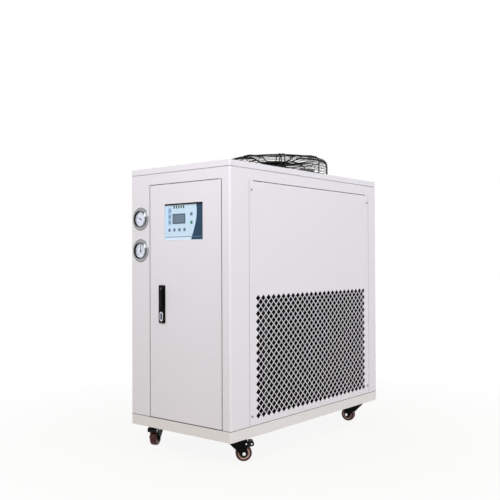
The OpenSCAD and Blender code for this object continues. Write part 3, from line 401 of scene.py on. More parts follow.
paint = finish("cabinet_paint", srgb(234, 232, 239), 0.45, grain=1100, height=0.00003,
               variation=0.008, specular=0.4)
base_paint = finish("base_paint", srgb(234, 232, 232), 0.45, grain=1100, height=0.00003,
                    variation=0.01, specular=0.4)
zinc = finish("galvanised", (0.60, 0.61, 0.62), 0.38, 1.0, grain=160, mottle=70, variation=0.12,
              rough_spread=0.12)
steel = finish("brushed_steel", (0.62, 0.62, 0.63), 0.30, 1.0, grain=700, mottle=200,
               variation=0.06, stretch=(1, 1, 0.06), rough_spread=0.1)
dark_steel = finish("dark_steel", (0.10, 0.10, 0.10), 0.42, 1.0, grain=700, mottle=200,
                    variation=0.12)
# Painted reflection: the gauges' chrome is darker than real chrome, for the dark reflections that
# the white studio does not give
chrome = finish("chrome", (0.36, 0.365, 0.375), 0.10, 1.0, grain=90, height=0.0, mottle=40,
                variation=0.04, rough_spread=0.04)
bright_chrome = finish("bright_chrome", (0.72, 0.75, 0.80), 0.14, 1.0, grain=90, height=0.0,
                       mottle=40, variation=0.04, rough_spread=0.04)
dark_screw = finish("screw_zinc", (0.28, 0.27, 0.27), 0.35, 1.0, grain=900, mottle=300,
                    variation=0.15)
copper = finish("copper", (0.80, 0.42, 0.27), 0.30, 1.0, grain=500, mottle=25, variation=0.12,
                second=(0.62, 0.33, 0.22), rough_spread=0.12)
brass = finish("brass", (0.80, 0.62, 0.30), 0.26, 1.0, grain=800, mottle=120, variation=0.06)
black_paint = black("black_paint", 0.4, 0.003, 700, specular=0.06)
pedal_paint = black("pedal_paint", 0.3, 0.004, 500, 0.00003, specular=0.14)
wire_coat = black("wire_coating", 0.45, 0.004, 1200, 0.00003, specular=0.15)
# Black of the contactors, control housing, lock parts and gland, and painted shade on the gauges'
# rings; the housing's black top rim is partly painted shade under the recess's top edge
black_plastic = black("black_plastic", 0.5, 0.003, 1800, 0.00006, specular=0.06)
lid_plastic = black("lid_plastic", 0.5, 0.014, 1800, 0.00006, specular=0.3)
# Painted shade: black for the screw sockets and for the dark strips in the seams and gaps
painted_shade_black = black("painted_shade_black", 0.85, 0.004, 900, 0.00008, specular=0.05)
rubber = black("rubber", 0.75, 0.018, 700, 0.00012, specular=0.2)
# Painted highlight on the lock lever's face
lever_highlight_plastic = finish("lever_highlight_plastic", srgb(14, 14, 14), 0.7, grain=1800, height=0.00006,
                       variation=0.1, specular=0.12)
# Painted shade: the bulkhead is dark grey for the shade inside the cabinet
shaded_sheet = finish("shaded_sheet", srgb(30, 31, 33), 0.55, grain=500, variation=0.1,
                      specular=0.3)
light_plastic = finish("light_plastic", (0.62, 0.62, 0.58), 0.42, grain=1500, height=0.00005,
                       variation=0.03)
tread_skin = finish("tread", srgb(72, 26, 21), 0.34, grain=500, height=0.00006, mottle=60,
                    variation=0.12, specular=0.3)
hub_dark = finish("hub_dark", srgb(62, 48, 44), 0.5, grain=900, height=0.00005, variation=0.1,
                  specular=0.3)
hub_plastic = finish("hub_plastic", srgb(205, 172, 160), 0.4, grain=900, height=0.00005,
                     variation=0.04)
dial_face = finish("dial_face", srgb(228, 231, 240), 0.5, grain=1500, height=0.00002,
                   variation=0.01, specular=0.3)
needle_paint = black("needle_paint", 0.5, 0.010, 1500, 0.00002)
film = printed("keypad_film", srgb(208, 234, 255), 0.28, 0.012)
pale_print = printed("pale_print", srgb(228, 240, 252), 0.28, 0.01)
navy_print = printed("navy_print", srgb(40, 70, 95), 0.32, 0.06, 0.2)
line_print = printed("line_print", srgb(128, 146, 168))
line_navy_print = printed("line_navy_print", srgb(85, 113, 136), specular=0.2)
key_print = printed("key_print", srgb(98, 118, 146))
green_print = printed("green_print", srgb(50, 132, 118))
lamp_print = printed("lamp_print", srgb(172, 204, 234))
lens_print = printed("lens_print", srgb(118, 150, 186), 0.15, specular=0.5)
lamp_green = printed("lamp_green", srgb(58, 80, 66), 0.15, specular=0.5)
lcd_glass = finish("display", srgb(112, 132, 154), 0.16, grain=1300, height=0.00001, mottle=25,
                   variation=0.05, second=srgb(98, 120, 136))
lcd_frame = printed("display_frame", srgb(60, 78, 102))
pane = clear_glass("gauge_pane")
# Painted shade: the condenser's fins are near black for the shade inside the cabinet, seen through
# the grille
shade_dark_fins = finned("shade_dark_fins", (0.006, 0.0065, 0.007), 0.002)
pump_blue = finish("pump_blue", (0.022, 0.07, 0.16), 0.35, grain=600, height=0.00006,
                   variation=0.08, coat=0.2)
cast_iron = finish("cast_iron", (0.15, 0.155, 0.16), 0.6, grain=260, height=0.0002,
                   variation=0.12)
tank_steel = finish("tank_steel", (0.58, 0.58, 0.59), 0.28, 1.0, grain=500, mottle=90,
                    variation=0.05, stretch=(0.06, 0.06, 1), rough_spread=0.08)
button_blue = finish("button_blue", srgb(52, 66, 84), 0.25, 0.5, grain=900, height=0.00002,
                     mottle=120, variation=0.1, specular=0.3)
rivet_steel = finish("rivet_steel", (0.78, 0.78, 0.77), 0.22, 1.0, grain=600, height=0.00002,
                     mottle=200, variation=0.04)

FINISHES = {
    paint: ["gauge_strip", "post_front_right", "rear_posts", "upper_frame", "top_cover",
            "side_panel_right", "side_panel_left", "rear_panel", "door_panel", "fan_duct"],
    base_paint: ["base_frame"],
    zinc: ["base_floor", "mounting_plate"],
    shaded_sheet: ["bulkhead"],
    steel: ["hinge_pins", "heat_exchanger"],
    dark_steel: ["lock_cam"],
    dark_screw: ["cover_screws"],
    light_plastic: ["circuit_breaker"],
    black_plastic: ["contactors", "control_housing", "lock_plate", "lock_lever", "cable_gland"],
    lid_plastic: ["tank_lid"],
    shade_dark_fins: ["condenser_core"],
    copper: ["condenser_tubes", "discharge_pipe", "liquid_pipe", "suction_pipe"],
    black_paint: ["compressor", "castor_plates", "fork_front_left", "fork_front_right",
                  "fork_rear_left", "fork_rear_right"],
    pedal_paint: ["brake_front_left", "brake_front_right"],
    wire_coat: ["fan_guard", "fan_motor", "fan_rotor"],
    rubber: ["compressor_feet", "supply_pipe", "return_pipe", "door_gasket"],
    tank_steel: ["water_tank"],
    pump_blue: ["pump_motor"],
    cast_iron: ["pump_casing"],
    brass: ["hose_sockets"],
    chrome: ["gauge_cases"],
    bright_chrome: ["lock_button"],
    dial_face: ["gauge_dials"],
    pane: ["gauge_glasses"],
    film: ["keypad_sheet"],
    needle_paint: ["needle_upper", "needle_lower"],
    tread_skin: ["wheel_front_left", "wheel_front_right", "wheel_rear_left",
                 "wheel_rear_right"],
}


def dress_nodes():
    for material, names in FINISHES.items():
        for node_name in names:
            node_mesh = frame["nodes"][node_name].data
            node_mesh.materials.clear()
            node_mesh.materials.append(material)


# Places on the object

def facing(x, y, z, right, up):
    """Matrix whose local X runs along right and local Y along up, at a point."""
    right, up = Vector(right), Vector(up)
    out = right.cross(up)
    turn = Matrix((right, up, out)).transposed().to_4x4()
    return Matrix.Translation((x, y, z)) @ turn


def on_front(x, y, z):
    """Local X to the right, local Y up and local Z out of the cabinet's front."""
    return facing(x, y, z, (1, 0, 0), (0, 0, 1))


def on_right(x, y, z):
    """Local X to the back, local Y up and local Z out of the cabinet's right side."""
    return facing(x, y, z, (0, 1, 0), (0, 0, 1))


def on_left(x, y, z):
    """Local X to the front, local Y up and local Z out of the cabinet's left side."""
    return facing(x, y, z, (0, -1, 0), (0, 0, 1))


def on_back(x, y, z):
    """Local X to the left, local Y up and local Z out of the cabinet's back."""
    return facing(x, y, z, (-1, 0, 0), (0, 0, 1))


# Mesh helpers

def lathe(bm, profile, at, segments, closed=True):
    """Turns (radius, height) points round the local Z of a matrix."""
    rings = []
    centre = {}
    for i in range(segments):
        angle = 2 * math.pi * i / segments
        ring = []
        for j, (radius, height) in enumerate(profile):
            if radius == 0:
                if j not in centre:
                    centre[j] = bm.verts.new(at @ Vector((0, 0, height)))
                ring.append(centre[j])
            else:
                point = Vector((radius * math.cos(angle), radius * math.sin(angle), height))
                ring.append(bm.verts.new(at @ point))
        rings.append(ring)
    count = len(profile)
    for i in range(segments):
        a, b = rings[i], rings[(i + 1) % segments]
        for j in range(count if closed else count - 1):
            k = (j + 1) % count
            sides = [a[j], b[j], b[k], a[k]]
            face = [v for n, v in enumerate(sides) if v not in sides[:n]]
            if len(face) > 2:
                bm.faces.new(face)


def plate(bm, outline, thickness, at):
    """A flat plate with a drawn outline, thick along local Z."""
    low = [bm.verts.new(at @ Vector((x, y, 0))) for x, y in outline]
    high = [bm.verts.new(at @ Vector((x, y, thickness))) for x, y in outline]
    bm.faces.new(high)
    bm.faces.new(low[::-1])
    for i in range(len(outline)):
        j = (i + 1) % len(outline)
        bm.faces.new([low[i], low[j], high[j], high[i]])


def band(bm, outer, inner, thickness, at):
    """A flat ring between two outlines of as many points."""
    loops = []
    for outline in (outer, inner):
        for height in (0, thickness):
            loops.append([bm.verts.new(at @ Vector((x, y, height))) for x, y in outline])
    outer_low, outer_high, inner_low, inner_high = loops
    count = len(outer)
    for a, b in ((outer_low, outer_high), (outer_high, inner_high), (inner_high, inner_low),
                 (inner_low, outer_low)):
        for i in range(count):
            j = (i + 1) % count
            bm.faces.new([a[i], a[j], b[j], b[i]])


def strip(bm, lo, hi):
    """A straight strip between two corners."""
    outline = [(lo[0], lo[1]), (hi[0], lo[1]), (hi[0], hi[1]), (lo[0], hi[1])]
    plate(bm, outline, hi[2] - lo[2], Matrix.Translation((0, 0, lo[2])))


def rounded_outline(width, height, radius, steps=6):
    """Corner points of a rounded rectangle about the origin."""
    points = []
    for quarter, (sx, sy) in enumerate([(1, 1), (-1, 1), (-1, -1), (1, -1)]):
        for i in range(steps + 1):
            angle = math.pi / 2 * (quarter + i / steps)
            points.append((sx * (width / 2 - radius) + radius * math.cos(angle),
                           sy * (height / 2 - radius) + radius * math.sin(angle)))
    return points


def circle_points(x, y, radius, count):
    return [(x + radius * math.cos(2 * math.pi * i / count),
             y + radius * math.sin(2 * math.pi * i / count)) for i in range(count)]


def tube(bm, points, radius, sides, closed=False):
    """Round bar along points, with its cross-section carried along without twist."""
    count = len(points)
    rings = []
    side = None
    for i, point in enumerate(points):
        before = points[i - 1] if closed or i > 0 else point
        after = points[(i + 1) % count] if closed or i < count - 1 else point
        along = (after - before).normalized()
        if side is None:
            side = along.orthogonal().normalized()
        side = (side - along * side.dot(along)).normalized()
        other = along.cross(side)
        rings.append([bm.verts.new(point + radius * (math.cos(2 * math.pi * k / sides) * side
                                                     + math.sin(2 * math.pi * k / sides) * other))
                      for k in range(sides)])
    for i in range(count if closed else count - 1):
        a, b = rings[i], rings[(i + 1) % count]
        for k in range(sides):
            m = (k + 1) % sides
            bm.faces.new([a[k], a[m], b[m], b[k]])
    if not closed:
        bm.faces.new(rings[0][::-1])
        bm.faces.new(rings[-1])


def domed(bm, outline, levels, at):
    """A button top: rings of the outline drawn inwards and raised, closed by a last face."""
    rings = []
    for inset, height in levels:
        ring = []
        for x, y in outline:
            reach = math.hypot(x, y)
            keep = (reach - inset) / reach
            ring.append(bm.verts.new(at @ Vector((x * keep, y * keep, height))))
        rings.append(ring)
    count = len(outline)
    for low, high in zip(rings, rings[1:]):
        for i in range(count):
            j = (i + 1) % count
            bm.faces.new([low[i], low[j], high[j], high[i]])
    bm.faces.new(rings[-1])
    bm.faces.new(rings[0][::-1])


def curve_mesh(curve, place):
    """The mesh of a curve or text, moved by a matrix."""
    holder = bpy.data.objects.new("holder", curve)
    bpy.context.collection.objects.link(holder)
    bpy.context.view_layer.update()
    graph = bpy.context.evaluated_depsgraph_get()
    mesh = bpy.data.meshes.new_from_object(holder.evaluated_get(graph))
    bpy.data.objects.remove(holder)
    bpy.data.curves.remove(curve)
    mesh.transform(place)
    return mesh


def piece(name, bm, body, material, smooth=35):
    """Makes an object of a bmesh drawn in millimetres, and lets it ride on a body."""
    bmesh.ops.scale(bm, vec=(MM, MM, MM), verts=bm.verts)
    bmesh.ops.recalc_face_normals(bm, faces=bm.faces)
    mesh = bpy.data.meshes.new(name)
    bm.to_mesh(mesh)
    bm.free()
    mesh.materials.append(material)
    mesh.polygons.foreach_set("use_smooth", [True] * len(mesh.polygons))
    mesh.set_sharp_from_angle(angle=math.radians(smooth))
    made = bpy.data.objects.new(name, mesh)
    bpy.context.collection.objects.link(made)
    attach(made, body)
    return made


# Punched side panel

def closed_spline(curve, points):
    spline = curve.splines.new("POLY")
    spline.points.add(len(points) - 1)
    for p, (x, y) in zip(spline.points, points):
        p.co = (x, y, 0, 1)
    spline.use_cyclic_u = True


def grille_places():
    """Centres of the diamonds: a grid, and a second one shifted by half a pitch."""
    for shift, columns, rows in ((0, GRILLE_COLUMNS, GRILLE_ROWS),
                                 (0.5, GRILLE_COLUMNS - 1, GRILLE_ROWS - 1)):
        for column in range(columns):
            for row in range(rows):
                yield (GRILLE_FIRST_Y + (column + shift) * GRILLE_PITCH_Y,
                       GRILLE_FIRST_Z + (row + shift) * GRILLE_PITCH_Z)


def screw_places(lo, hi):
    return [(y, z) for y in (lo.y + SCREW_IN, hi.y - SCREW_IN)
            for z in (lo.z + SCREW_END, hi.z - SCREW_END)]


def punched_panel():
    """The side panel with all its diamonds and screw holes, and the hems at its foot and top."""
    lo, hi = corners("side_panel_right")
    foot = lo.z - PANEL_DROP
    curve = bpy.data.curves.new("punched", "CURVE")
    curve.dimensions = "2D"
    curve.fill_mode = "BOTH"
    curve.bevel_depth = PUNCH_ROLL
    curve.bevel_resolution = 1
    curve.offset = -PUNCH_ROLL
    curve.extrude = SHEET / 2 - PUNCH_ROLL
    closed_spline(curve, [(lo.y, foot), (hi.y, foot), (hi.y, hi.z), (lo.y, hi.z)])
    for y, z in grille_places():
        closed_spline(curve, [(y + DIAMOND_W / 2, z), (y, z + DIAMOND_H / 2),
                              (y - DIAMOND_W / 2, z), (y, z - DIAMOND_H / 2)])
    for y, z in screw_places(lo, hi):
        closed_spline(curve, circle_points(y, z, SCREW_HOLE_R, HOLE_SEGMENTS))
    bm = bmesh.new()
    bm.from_mesh(curve_mesh(curve, on_right(hi.x - SHEET / 2, 0, 0)))
    for z in (foot, hi.z - SHEET):
        strip(bm, (lo.x, lo.y + HEM_INSET, z), (hi.x - SHEET, hi.y - HEM_INSET, z + SHEET))
    panel = piece("punched_side_panel", bm, "cabinet", paint)
    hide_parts("side_panel_right")


def screw_sockets():
    """Painted shade: flat black hexagons on the heads of the panel screws, for their shaded
    sockets.
    """
    lo, hi = corners("side_panel_right")
    rear_lo, rear_hi = corners("rear_panel")
    heads_lo, heads_hi = corners("cover_screws")
    bm = bmesh.new()
    socket = circle_points(0, 0, SOCKET_R, HEXAGON)
    for y, z in screw_places(lo, hi):
        plate(bm, socket, PRINT, on_right(heads_hi.x, y, z))
        plate(bm, socket, PRINT, on_left(heads_lo.x, y, z))
    for x in (rear_lo.x + SCREW_IN, rear_hi.x - SCREW_IN):
        for z in (lo.z + SCREW_END, hi.z - SCREW_END):
            plate(bm, socket, PRINT, on_back(x, heads_hi.y, z))
    piece("screw_sockets", bm, "cabinet", painted_shade_black)


# Seams

def seam_bands():
    """Painted shade: dark strips in the joint above the base and along the door's and the side
    panel's edges, where the deep gaps lie in shade.
    """
    base_lo, base_hi = corners("base_frame")
    joint_z = corners("post_front_right")[0].z
    panel_lo, panel_hi = corners("side_panel_right")
    sheet_y = corners("gauge_strip")[0].y
    door_lo, door_hi = corners("door_panel")
    width, depth = base_hi.x - base_lo.x, base_hi.y - base_lo.y
    bm = bmesh.new()
    band(bm,
         rounded_outline(width + 2 * BASE_SHADE_PROUD, depth + 2 * BASE_SHADE_PROUD, CORNER_R),
         rounded_outline(width - 2 * BASE_SHADE_IN, depth - 2 * BASE_SHADE_IN,
                         CORNER_R - BASE_SHADE_IN),
         BASE_SHADE_H, Matrix.Translation((0, 0, joint_z)))
    gap_x = door_lo.x - DOOR_GAP
    strip(bm, (gap_x + GAP_SHADE_CLEAR, sheet_y + STRIP_SHADE_BACK, door_lo.z),
          (gap_x + STRIP_SHADE_EDGE, sheet_y + GAP_SHADE_DEPTH, door_hi.z))
    face_x = panel_hi.x - PANEL_SHADE_BACK
    for y in (panel_lo.y - PANEL_SHADE_CLEAR - PANEL_SHADE_W, panel_hi.y + PANEL_SHADE_CLEAR):
        strip(bm, (face_x - PANEL_SHADE_T, y, panel_lo.z), (face_x, y + PANEL_SHADE_W, panel_hi.z))
    piece("joint_shade", bm, "cabinet", painted_shade_black)
    bm = bmesh.new()
    strip(bm, (door_hi.x + GAP_SHADE_CLEAR, door_lo.y + DOOR_SHADE_BACK, door_lo.z),
          (door_hi.x + DOOR_SHADE_EDGE, door_lo.y + GAP_SHADE_DEPTH, door_hi.z))
    piece("door_edge_shade", bm, "door", painted_shade_black)


# Fan guard of coated wire

def dome_height(radius, top):
    """Height of the guard's top at a radius: it rises a little towards the middle."""
    edge = GUARD_R - SHOULDER
    return top + DOME_RISE * math.sqrt(1 - min(1.0, radius / edge) ** 2)


def top_radii():
    """Radii of the top's rings: close together at the edge, and a few in the middle."""
    edge = GUARD_R - SHOULDER
    radii = [edge - i * EDGE_PITCH for i in range(EDGE_RINGS)]
    return radii + [radii[-1] - (i + 1) * MIDDLE_PITCH for i in range(MIDDLE_RINGS)]


def arm_path(top, lift, low, start):
    """A wire from its lower end over the shoulder and the dome, and down to the motor's plate."""
    edge = GUARD_R - SHOULDER
    points = [Vector((GUARD_R + lift, 0, start)), Vector((GUARD_R + lift, 0, top - SHOULDER))]
    for step in range(1, ARM_STEPS + 1):
        angle = math.pi / 2 * step / ARM_STEPS
        points.append(Vector((edge + (SHOULDER + lift) * math.cos(angle), 0,
                              top - SHOULDER + (SHOULDER + lift) * math.sin(angle))))
    for step in range(1, ARM_STEPS + 1):
        radius = edge + (ARM_DIP_R - edge) * step / ARM_STEPS
        points.append(Vector((radius, 0, dome_height(radius, top) + lift)))
    points.append(Vector((ARM_LOW_R + ARM_BEND_OUT, 0, low + ARM_BEND_UP)))
    points.append(Vector((ARM_LOW_R, 0, low)))
    points.append(Vector((ARM_END, 0, low)))
    return points


def guard():
    """The guard's rings, thicker wires and feet, round the fan's axis."""
    motor_lo, motor_hi = corners("fan_motor")
    cover_hi = corners("top_cover")[1]
    centre = Vector(((motor_lo.x + motor_hi.x) / 2, (motor_lo.y + motor_hi.y) / 2, cover_hi.z))
    top = corners("fan_guard")[1].z - centre.z - RING_R
    bm = bmesh.new()

    def ring(radius, height):
        tube(bm, [centre + Vector((x, y, height))
                  for x, y in circle_points(0, 0, radius, RING_SEGMENTS)], RING_R, RING_SIDES, True)

    for i in range(SIDE_RINGS):
        ring(GUARD_R, LOWEST_RING + i * (top - SHOULDER - LOWEST_RING) / (SIDE_RINGS - 1))
    for i in range(SHOULDER_RINGS):
        angle = math.pi / 2 * (i + 1) / (SHOULDER_RINGS + 1)
        ring(GUARD_R - SHOULDER * (1 - math.cos(angle)), top - SHOULDER * (1 - math.sin(angle)))
    for radius in top_radii():
        ring(radius, dome_height(radius, top))

    lift = RING_R + ARM_R - ARM_LAP
    low = motor_hi.z - centre.z + ARM_R
    foot = [(x + GUARD_R - FOOT_LAP + FOOT_SIDE / 2, y)
            for x, y in rounded_outline(FOOT_SIDE, FOOT_SIDE, FOOT_CORNER)]
    for i in range(ARMS):
        turn = Matrix.Rotation(2 * math.pi * i / ARMS, 3, "Z")
        paired = i % 2 == 1
        path = arm_path(top, lift, low, FOOT_T / 2 if paired else LOWEST_RING - SINGLE_BELOW_RING)
        for shift in (-ARM_HALF_PAIR, ARM_HALF_PAIR) if paired else (0,):
            tube(bm, [centre + turn @ (p + Vector((0, shift, 0))) for p in path], ARM_R, ARM_SIDES)
        if paired:
            plate(bm, foot, FOOT_T, Matrix.Translation(centre) @ turn.to_4x4())
    wires = piece("guard_wires", bm, "cabinet", wire_coat, 60)
    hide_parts("fan_guard")


# Gauges

def box_profile(inner, outer, foot, top):
    """Lathe profile of a ring with a square section."""
    return [(inner, foot), (outer, foot), (outer, top), (inner, top)]


def gauge_body(name, at, flange_r):
    """Chromed case: rolled bezel, pressed flange and the tube behind the sheet. The points
    between the named ones round its edges."""
    bm = bmesh.new()
    lathe(bm, [
        (RIM_IN, PANE_TOP), (RIM_IN, 6.4), (RIM_IN + 0.8, RIM_TOP), (RIM_OUT - 1, RIM_TOP),
        (RIM_OUT, 6.0), (RIM_OUT, 2.6), (RIM_OUT + 1.2, 1.7), (flange_r - 4, 1.5),
        (flange_r - 1.2, 1.1), (flange_r, 0.0), (RIM_OUT, 0.0), (RIM_OUT, CASE_BACK),
        (SPINDLE_R, CASE_BACK), (SPINDLE_R, CASE_FLOOR), (CASE_IN, CASE_FLOOR),
        (CASE_IN, PANE_TOP),
    ], at, GAUGE_SEGMENTS)
    return piece(name, bm, "cabinet", chrome, 28)


def gauge_rings(name, at, flange_r):
    """Painted shade: black rings in the throat before the dial, on the inner half of the bezel's
    front, round the bezel's side below its top, and just outside the flange's edge.
    """
    # Painted shade: each ring below is black and stands for shade, not for a part of its own
    throat = [(DIAL_R, THROAT_FOOT), (DIAL_R + 0.9, THROAT_TOP), (THROAT_OUT, THROAT_TOP),
              (THROAT_OUT, THROAT_FOOT)]
    inlay = [(RIM_IN - 0.1, 5.6), (RIM_IN - 0.1, 6.5), (RIM_IN + 0.8, RIM_TOP + 0.15),
             (RIM_MID, RIM_TOP + 0.15), (RIM_MID, RIM_TOP - 0.1), (RIM_IN + 0.9, RIM_TOP - 0.1),
             (RIM_IN + 0.1, 6.3), (RIM_IN + 0.1, 5.6)]
    rim_foot_shade = box_profile(RIM_OUT - 0.1, RIM_OUT + 0.3, 2.3, 4.4)
    gasket = box_profile(flange_r - 2, flange_r + OUTLINE_SHADE_PROUD, 0, OUTLINE_SHADE_T)
    bm = bmesh.new()
    for profile in (throat, inlay, rim_foot_shade, gasket):
        lathe(bm, profile, at, GAUGE_SEGMENTS)
    piece(name, bm, "cabinet", black_plastic, 30)


def scale_angle(share):
    """Direction of a dial's mark, from a share of the scale's sweep."""
    return math.radians(90 + SCALE_SWEEP / 2 - SCALE_SWEEP * share)


def dial_marks(name, at, divisions):
    """Printed scale: one long mark for each number and short ones between, on an arc."""
    bm = bmesh.new()
    out = DIAL_R - SCALE_IN
    marks = divisions * MARKS_EACH
    for i in range(marks + 1):
        length, half = SHORT_MARK if i % MARKS_EACH else LONG_MARK
        plate(bm, [(out - length, -half), (out, -half), (out, half), (out - length, half)],
              MARK_T, at @ Matrix.Rotation(scale_angle(i / marks), 4, "Z"))
    arc = [scale_angle(i / ARC_STEPS) for i in range(ARC_STEPS + 1)]
    outline = [(radius * math.cos(a), radius * math.sin(a))
               for radius, angles in ((out, arc), (out - ARC_W, arc[::-1])) for a in angles]
    plate(bm, outline, MARK_T, at)
    piece(name, bm, "cabinet", needle_paint)


def dial_numbers(name, at, values):
    """Plain numbers round the scale."""
    bm = bmesh.new()
    radius = DIAL_R - NUMBER_IN
    for i, value in enumerate(values):
        angle = scale_angle(i / (len(values) - 1))
        text = bpy.data.curves.new("number", "FONT")
        text.body = str(value)
        text.size = NUMBER_SIZE
        text.align_x = "CENTER"
        text.align_y = "CENTER"
        text.extrude = MARK_T / 2
        place = Matrix.Translation((radius * math.cos(angle), radius * math.sin(angle),
                                    NUMBER_LIFT))
        bm.from_mesh(curve_mesh(text, at @ place))
    piece(name, bm, "cabinet", needle_paint)


def gauges():
    """Both gauges: the upper case stands for the node that holds the two."""
    lo, hi = corners("gauge_cases")
    face_y = corners("door_panel")[0].y
    dial_y = corners("gauge_dials")[0].y
    flange_r = (hi.x - lo.x) / 2
    x = (lo.x + hi.x) / 2
    for name, z, numbers in (("upper", hi.z - flange_r, UPPER_NUMBERS),
                             ("lower", lo.z + flange_r, LOWER_NUMBERS)):
        front = on_front(x, face_y, z)
        dial = on_front(x, dial_y, z)
        gauge_body("gauge_case_" + name, front, flange_r)
        gauge_rings("gauge_rings_" + name, front, flange_r)
        dial_marks(name + "_scale", dial, len(numbers) - 1)
        dial_numbers(name + "_numbers", dial, numbers)
    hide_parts("gauge_cases")


# Keypad print

def curve_x(z):
    """X of the navy field's curved edge at a height."""
    for (x0, z0), (x1, z1) in zip(NAVY_CURVE, NAVY_CURVE[1:]):
        if z <= z1:
            return x0 + (x1 - x0) * (z - z0) / (z1 - z0)
    return NAVY_CURVE[-1][0]


def keypad():
    """The fields, line, display, keys and lamps printed on the control unit's film."""
    lo, hi = corners("keypad_sheet")
    corner = Vector((lo.x - SHEET_INSET, lo.y + KEY_RISE, lo.z - SHEET_INSET))
    left, right = SHEET_INSET, hi.x - corner.x
    bottom, top = SHEET_INSET, hi.z - corner.z
    line_top = LINE_Z + LINE_H
    line_x, line_top_x = curve_x(LINE_Z), curve_x(line_top)
    heights = [bottom + (top - bottom) * i / CURVE_STEPS for i in range(CURVE_STEPS + 1)]

    def at(x, z, out=0.0):
        return on_front(corner.x + x, corner.y - out, corner.z + z)

    def field(name, outline, material, thickness=PRINT):
        bm = bmesh.new()
        plate(bm, outline, thickness, at(0, 0))
        piece(name, bm, "door", material)

    def pads(name, places, pad, thickness, material, out=0.0):
        bm = bmesh.new()
        for x, z in places:
            plate(bm, rounded_outline(*pad), thickness, at(x, z, out))
        piece(name, bm, "door", material)

    field("keypad_navy_field", [(curve_x(z), z) for z in heights] + [(right, top), (right, bottom)],
          navy_print)
    field("keypad_pale_field", [(left, bottom), (curve_x(bottom), bottom), (line_x, LINE_Z),
                                (left, LINE_Z)], pale_print)
    field("keypad_line_light", [(left, LINE_Z), (line_x, LINE_Z), (line_top_x, line_top),
                                (left, line_top)], line_print)
    field("keypad_line_dark", [(line_x, LINE_Z), (right, LINE_Z), (right, line_top),
                               (line_top_x, line_top)], line_navy_print, DARK_LINE_T)
    pads("display_frame", [WINDOW], FRAME_PAD, FRAME_T, lcd_frame)
    pads("display_glass", [WINDOW], DISPLAY_PAD, DISPLAY_T, lcd_glass)
    pads("key_tops", KEY_ROW + [UPPER_KEY], KEY_PAD, PRINT, key_print, KEY_RISE)
    pads("key_top_green", [GREEN_KEY], KEY_PAD, PRINT, green_print, KEY_RISE)
    pads("signal_field", [(SIGNAL_X, SIGNAL_FIELD_Z)], SIGNAL_FIELD_PAD, PRINT, lamp_print)
    pads("signal_lenses", SIGNALS, SIGNAL_PAD, LENS_T, lens_print)
    pads("status_lamps", LAMP_ROW, LAMP_PAD, LENS_T, lamp_green)


def keypad_trim():
    """The film's edge turned up over the sides of the recess, which leaves the housing's black rim
    bare only along the top: its black there is partly painted shade under the recess's top edge.
    """
    lo, hi = corners("control_housing")
    sheet_lo, sheet_hi = corners("keypad_sheet")
    front = lo.y - FILM_PROUD
    back = sheet_lo.y + KEY_RISE
    bm = bmesh.new()
    strip(bm, (lo.x, front, lo.z), (sheet_lo.x + FILM_LAP_LEFT, back, sheet_hi.z))
    strip(bm, (lo.x, front, lo.z), (sheet_hi.x, back, sheet_lo.z + FILM_LAP))
    piece("film_edge_pale", bm, "door", film)
    bm = bmesh.new()
    strip(bm, (sheet_hi.x - FILM_LAP, front, lo.z), (hi.x, back, sheet_hi.z))
    piece("film_edge_navy", bm, "door", navy_print)


# Door lock

def lock():
    """The button's bright ring and blue core, and a painted highlight on the lever: a lighter, matt
    strip down its face.
    """
    lo, hi = corners("lock_button")
    width, height, depth = hi.x - lo.x, hi.z - lo.z, hi.y - lo.y
    at = on_front((lo.x + hi.x) / 2, hi.y, (lo.z + hi.z) / 2)
    outline = rounded_outline(width, height, width / 2 - ROUND_SPARE, BUTTON_STEPS)
    bm = bmesh.new()
    domed(bm, outline, [(0, 0)] + [(inset, depth - below) for inset, below in BUTTON_LEVELS], at)
    button = piece("button_ring", bm, "lock_push", bright_chrome, 30)
    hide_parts("lock_button")
    bm = bmesh.new()
    domed(bm, [(x * CORE_SHARE_W, y * CORE_SHARE_H) for x, y in outline],
          [(inset, depth - below) for inset, below in CORE_LEVELS], at)
    piece("button_core", bm, "lock_push", button_blue, 40)

    lo, hi = corners("lock_lever")
    z0, z1 = lo.z + HIGHLIGHT_FOOT, hi.z - HIGHLIGHT_TOP
    bm = bmesh.new()
    plate(bm, rounded_outline(HIGHLIGHT_W, z1 - z0, HIGHLIGHT_CORNER), HIGHLIGHT_T,
          on_front((lo.x + hi.x) / 2, lo.y, (z0 + z1) / 2))
    piece("lever_highlight", bm, "lock_handle", lever_highlight_plastic)


# Electrics behind the door

def terminals(name, node, count, inset, radius):
    """Screws in the terminals along the upper and lower edge of a device's front."""
    lo, hi = corners(node)
    pitch = (hi.x - lo.x) / count
    head = [(0, 0), (radius, 0), (radius, HEAD_SIDE), (radius - HEAD_CHAMFER, HEAD_T),
            (0, HEAD_T)]
    bm = bmesh.new()
    for i in range(count):
        for z in (lo.z + inset, hi.z - inset):
            lathe(bm, head, on_front(lo.x + (i + 0.5) * pitch, lo.y, z), SCREW_SEGMENTS, False)
    piece(name, bm, "cabinet", steel)


def breaker_field():
    """Dark field of the breaker's toggle."""
    lo, hi = corners("circuit_breaker")
    bm = bmesh.new()
    plate(bm, rounded_outline(hi.x - lo.x - FIELD_NARROWER, FIELD_H, FIELD_CORNER), FIELD_T,
          on_front((lo.x + hi.x) / 2, lo.y, (lo.z + hi.z) / 2))
    piece("breaker_field", bm, "cabinet", lid_plastic)


# Castor wheels, nuts and rivets

def axle_matrix(castor):
    """Local Z along a wheel's axle, from the joint that turns it, at the wheel's centre."""
    joint = next(j for j in frame["joints"] if j["name"] == "wheel_roll_" + castor)
    lo, hi = corners("wheel_" + castor)
    along = Vector(joint["axis"]).normalized()
    turn = along.to_track_quat("Z", "Y").to_matrix().to_4x4()
    return Matrix.Translation((lo + hi) / 2) @ turn


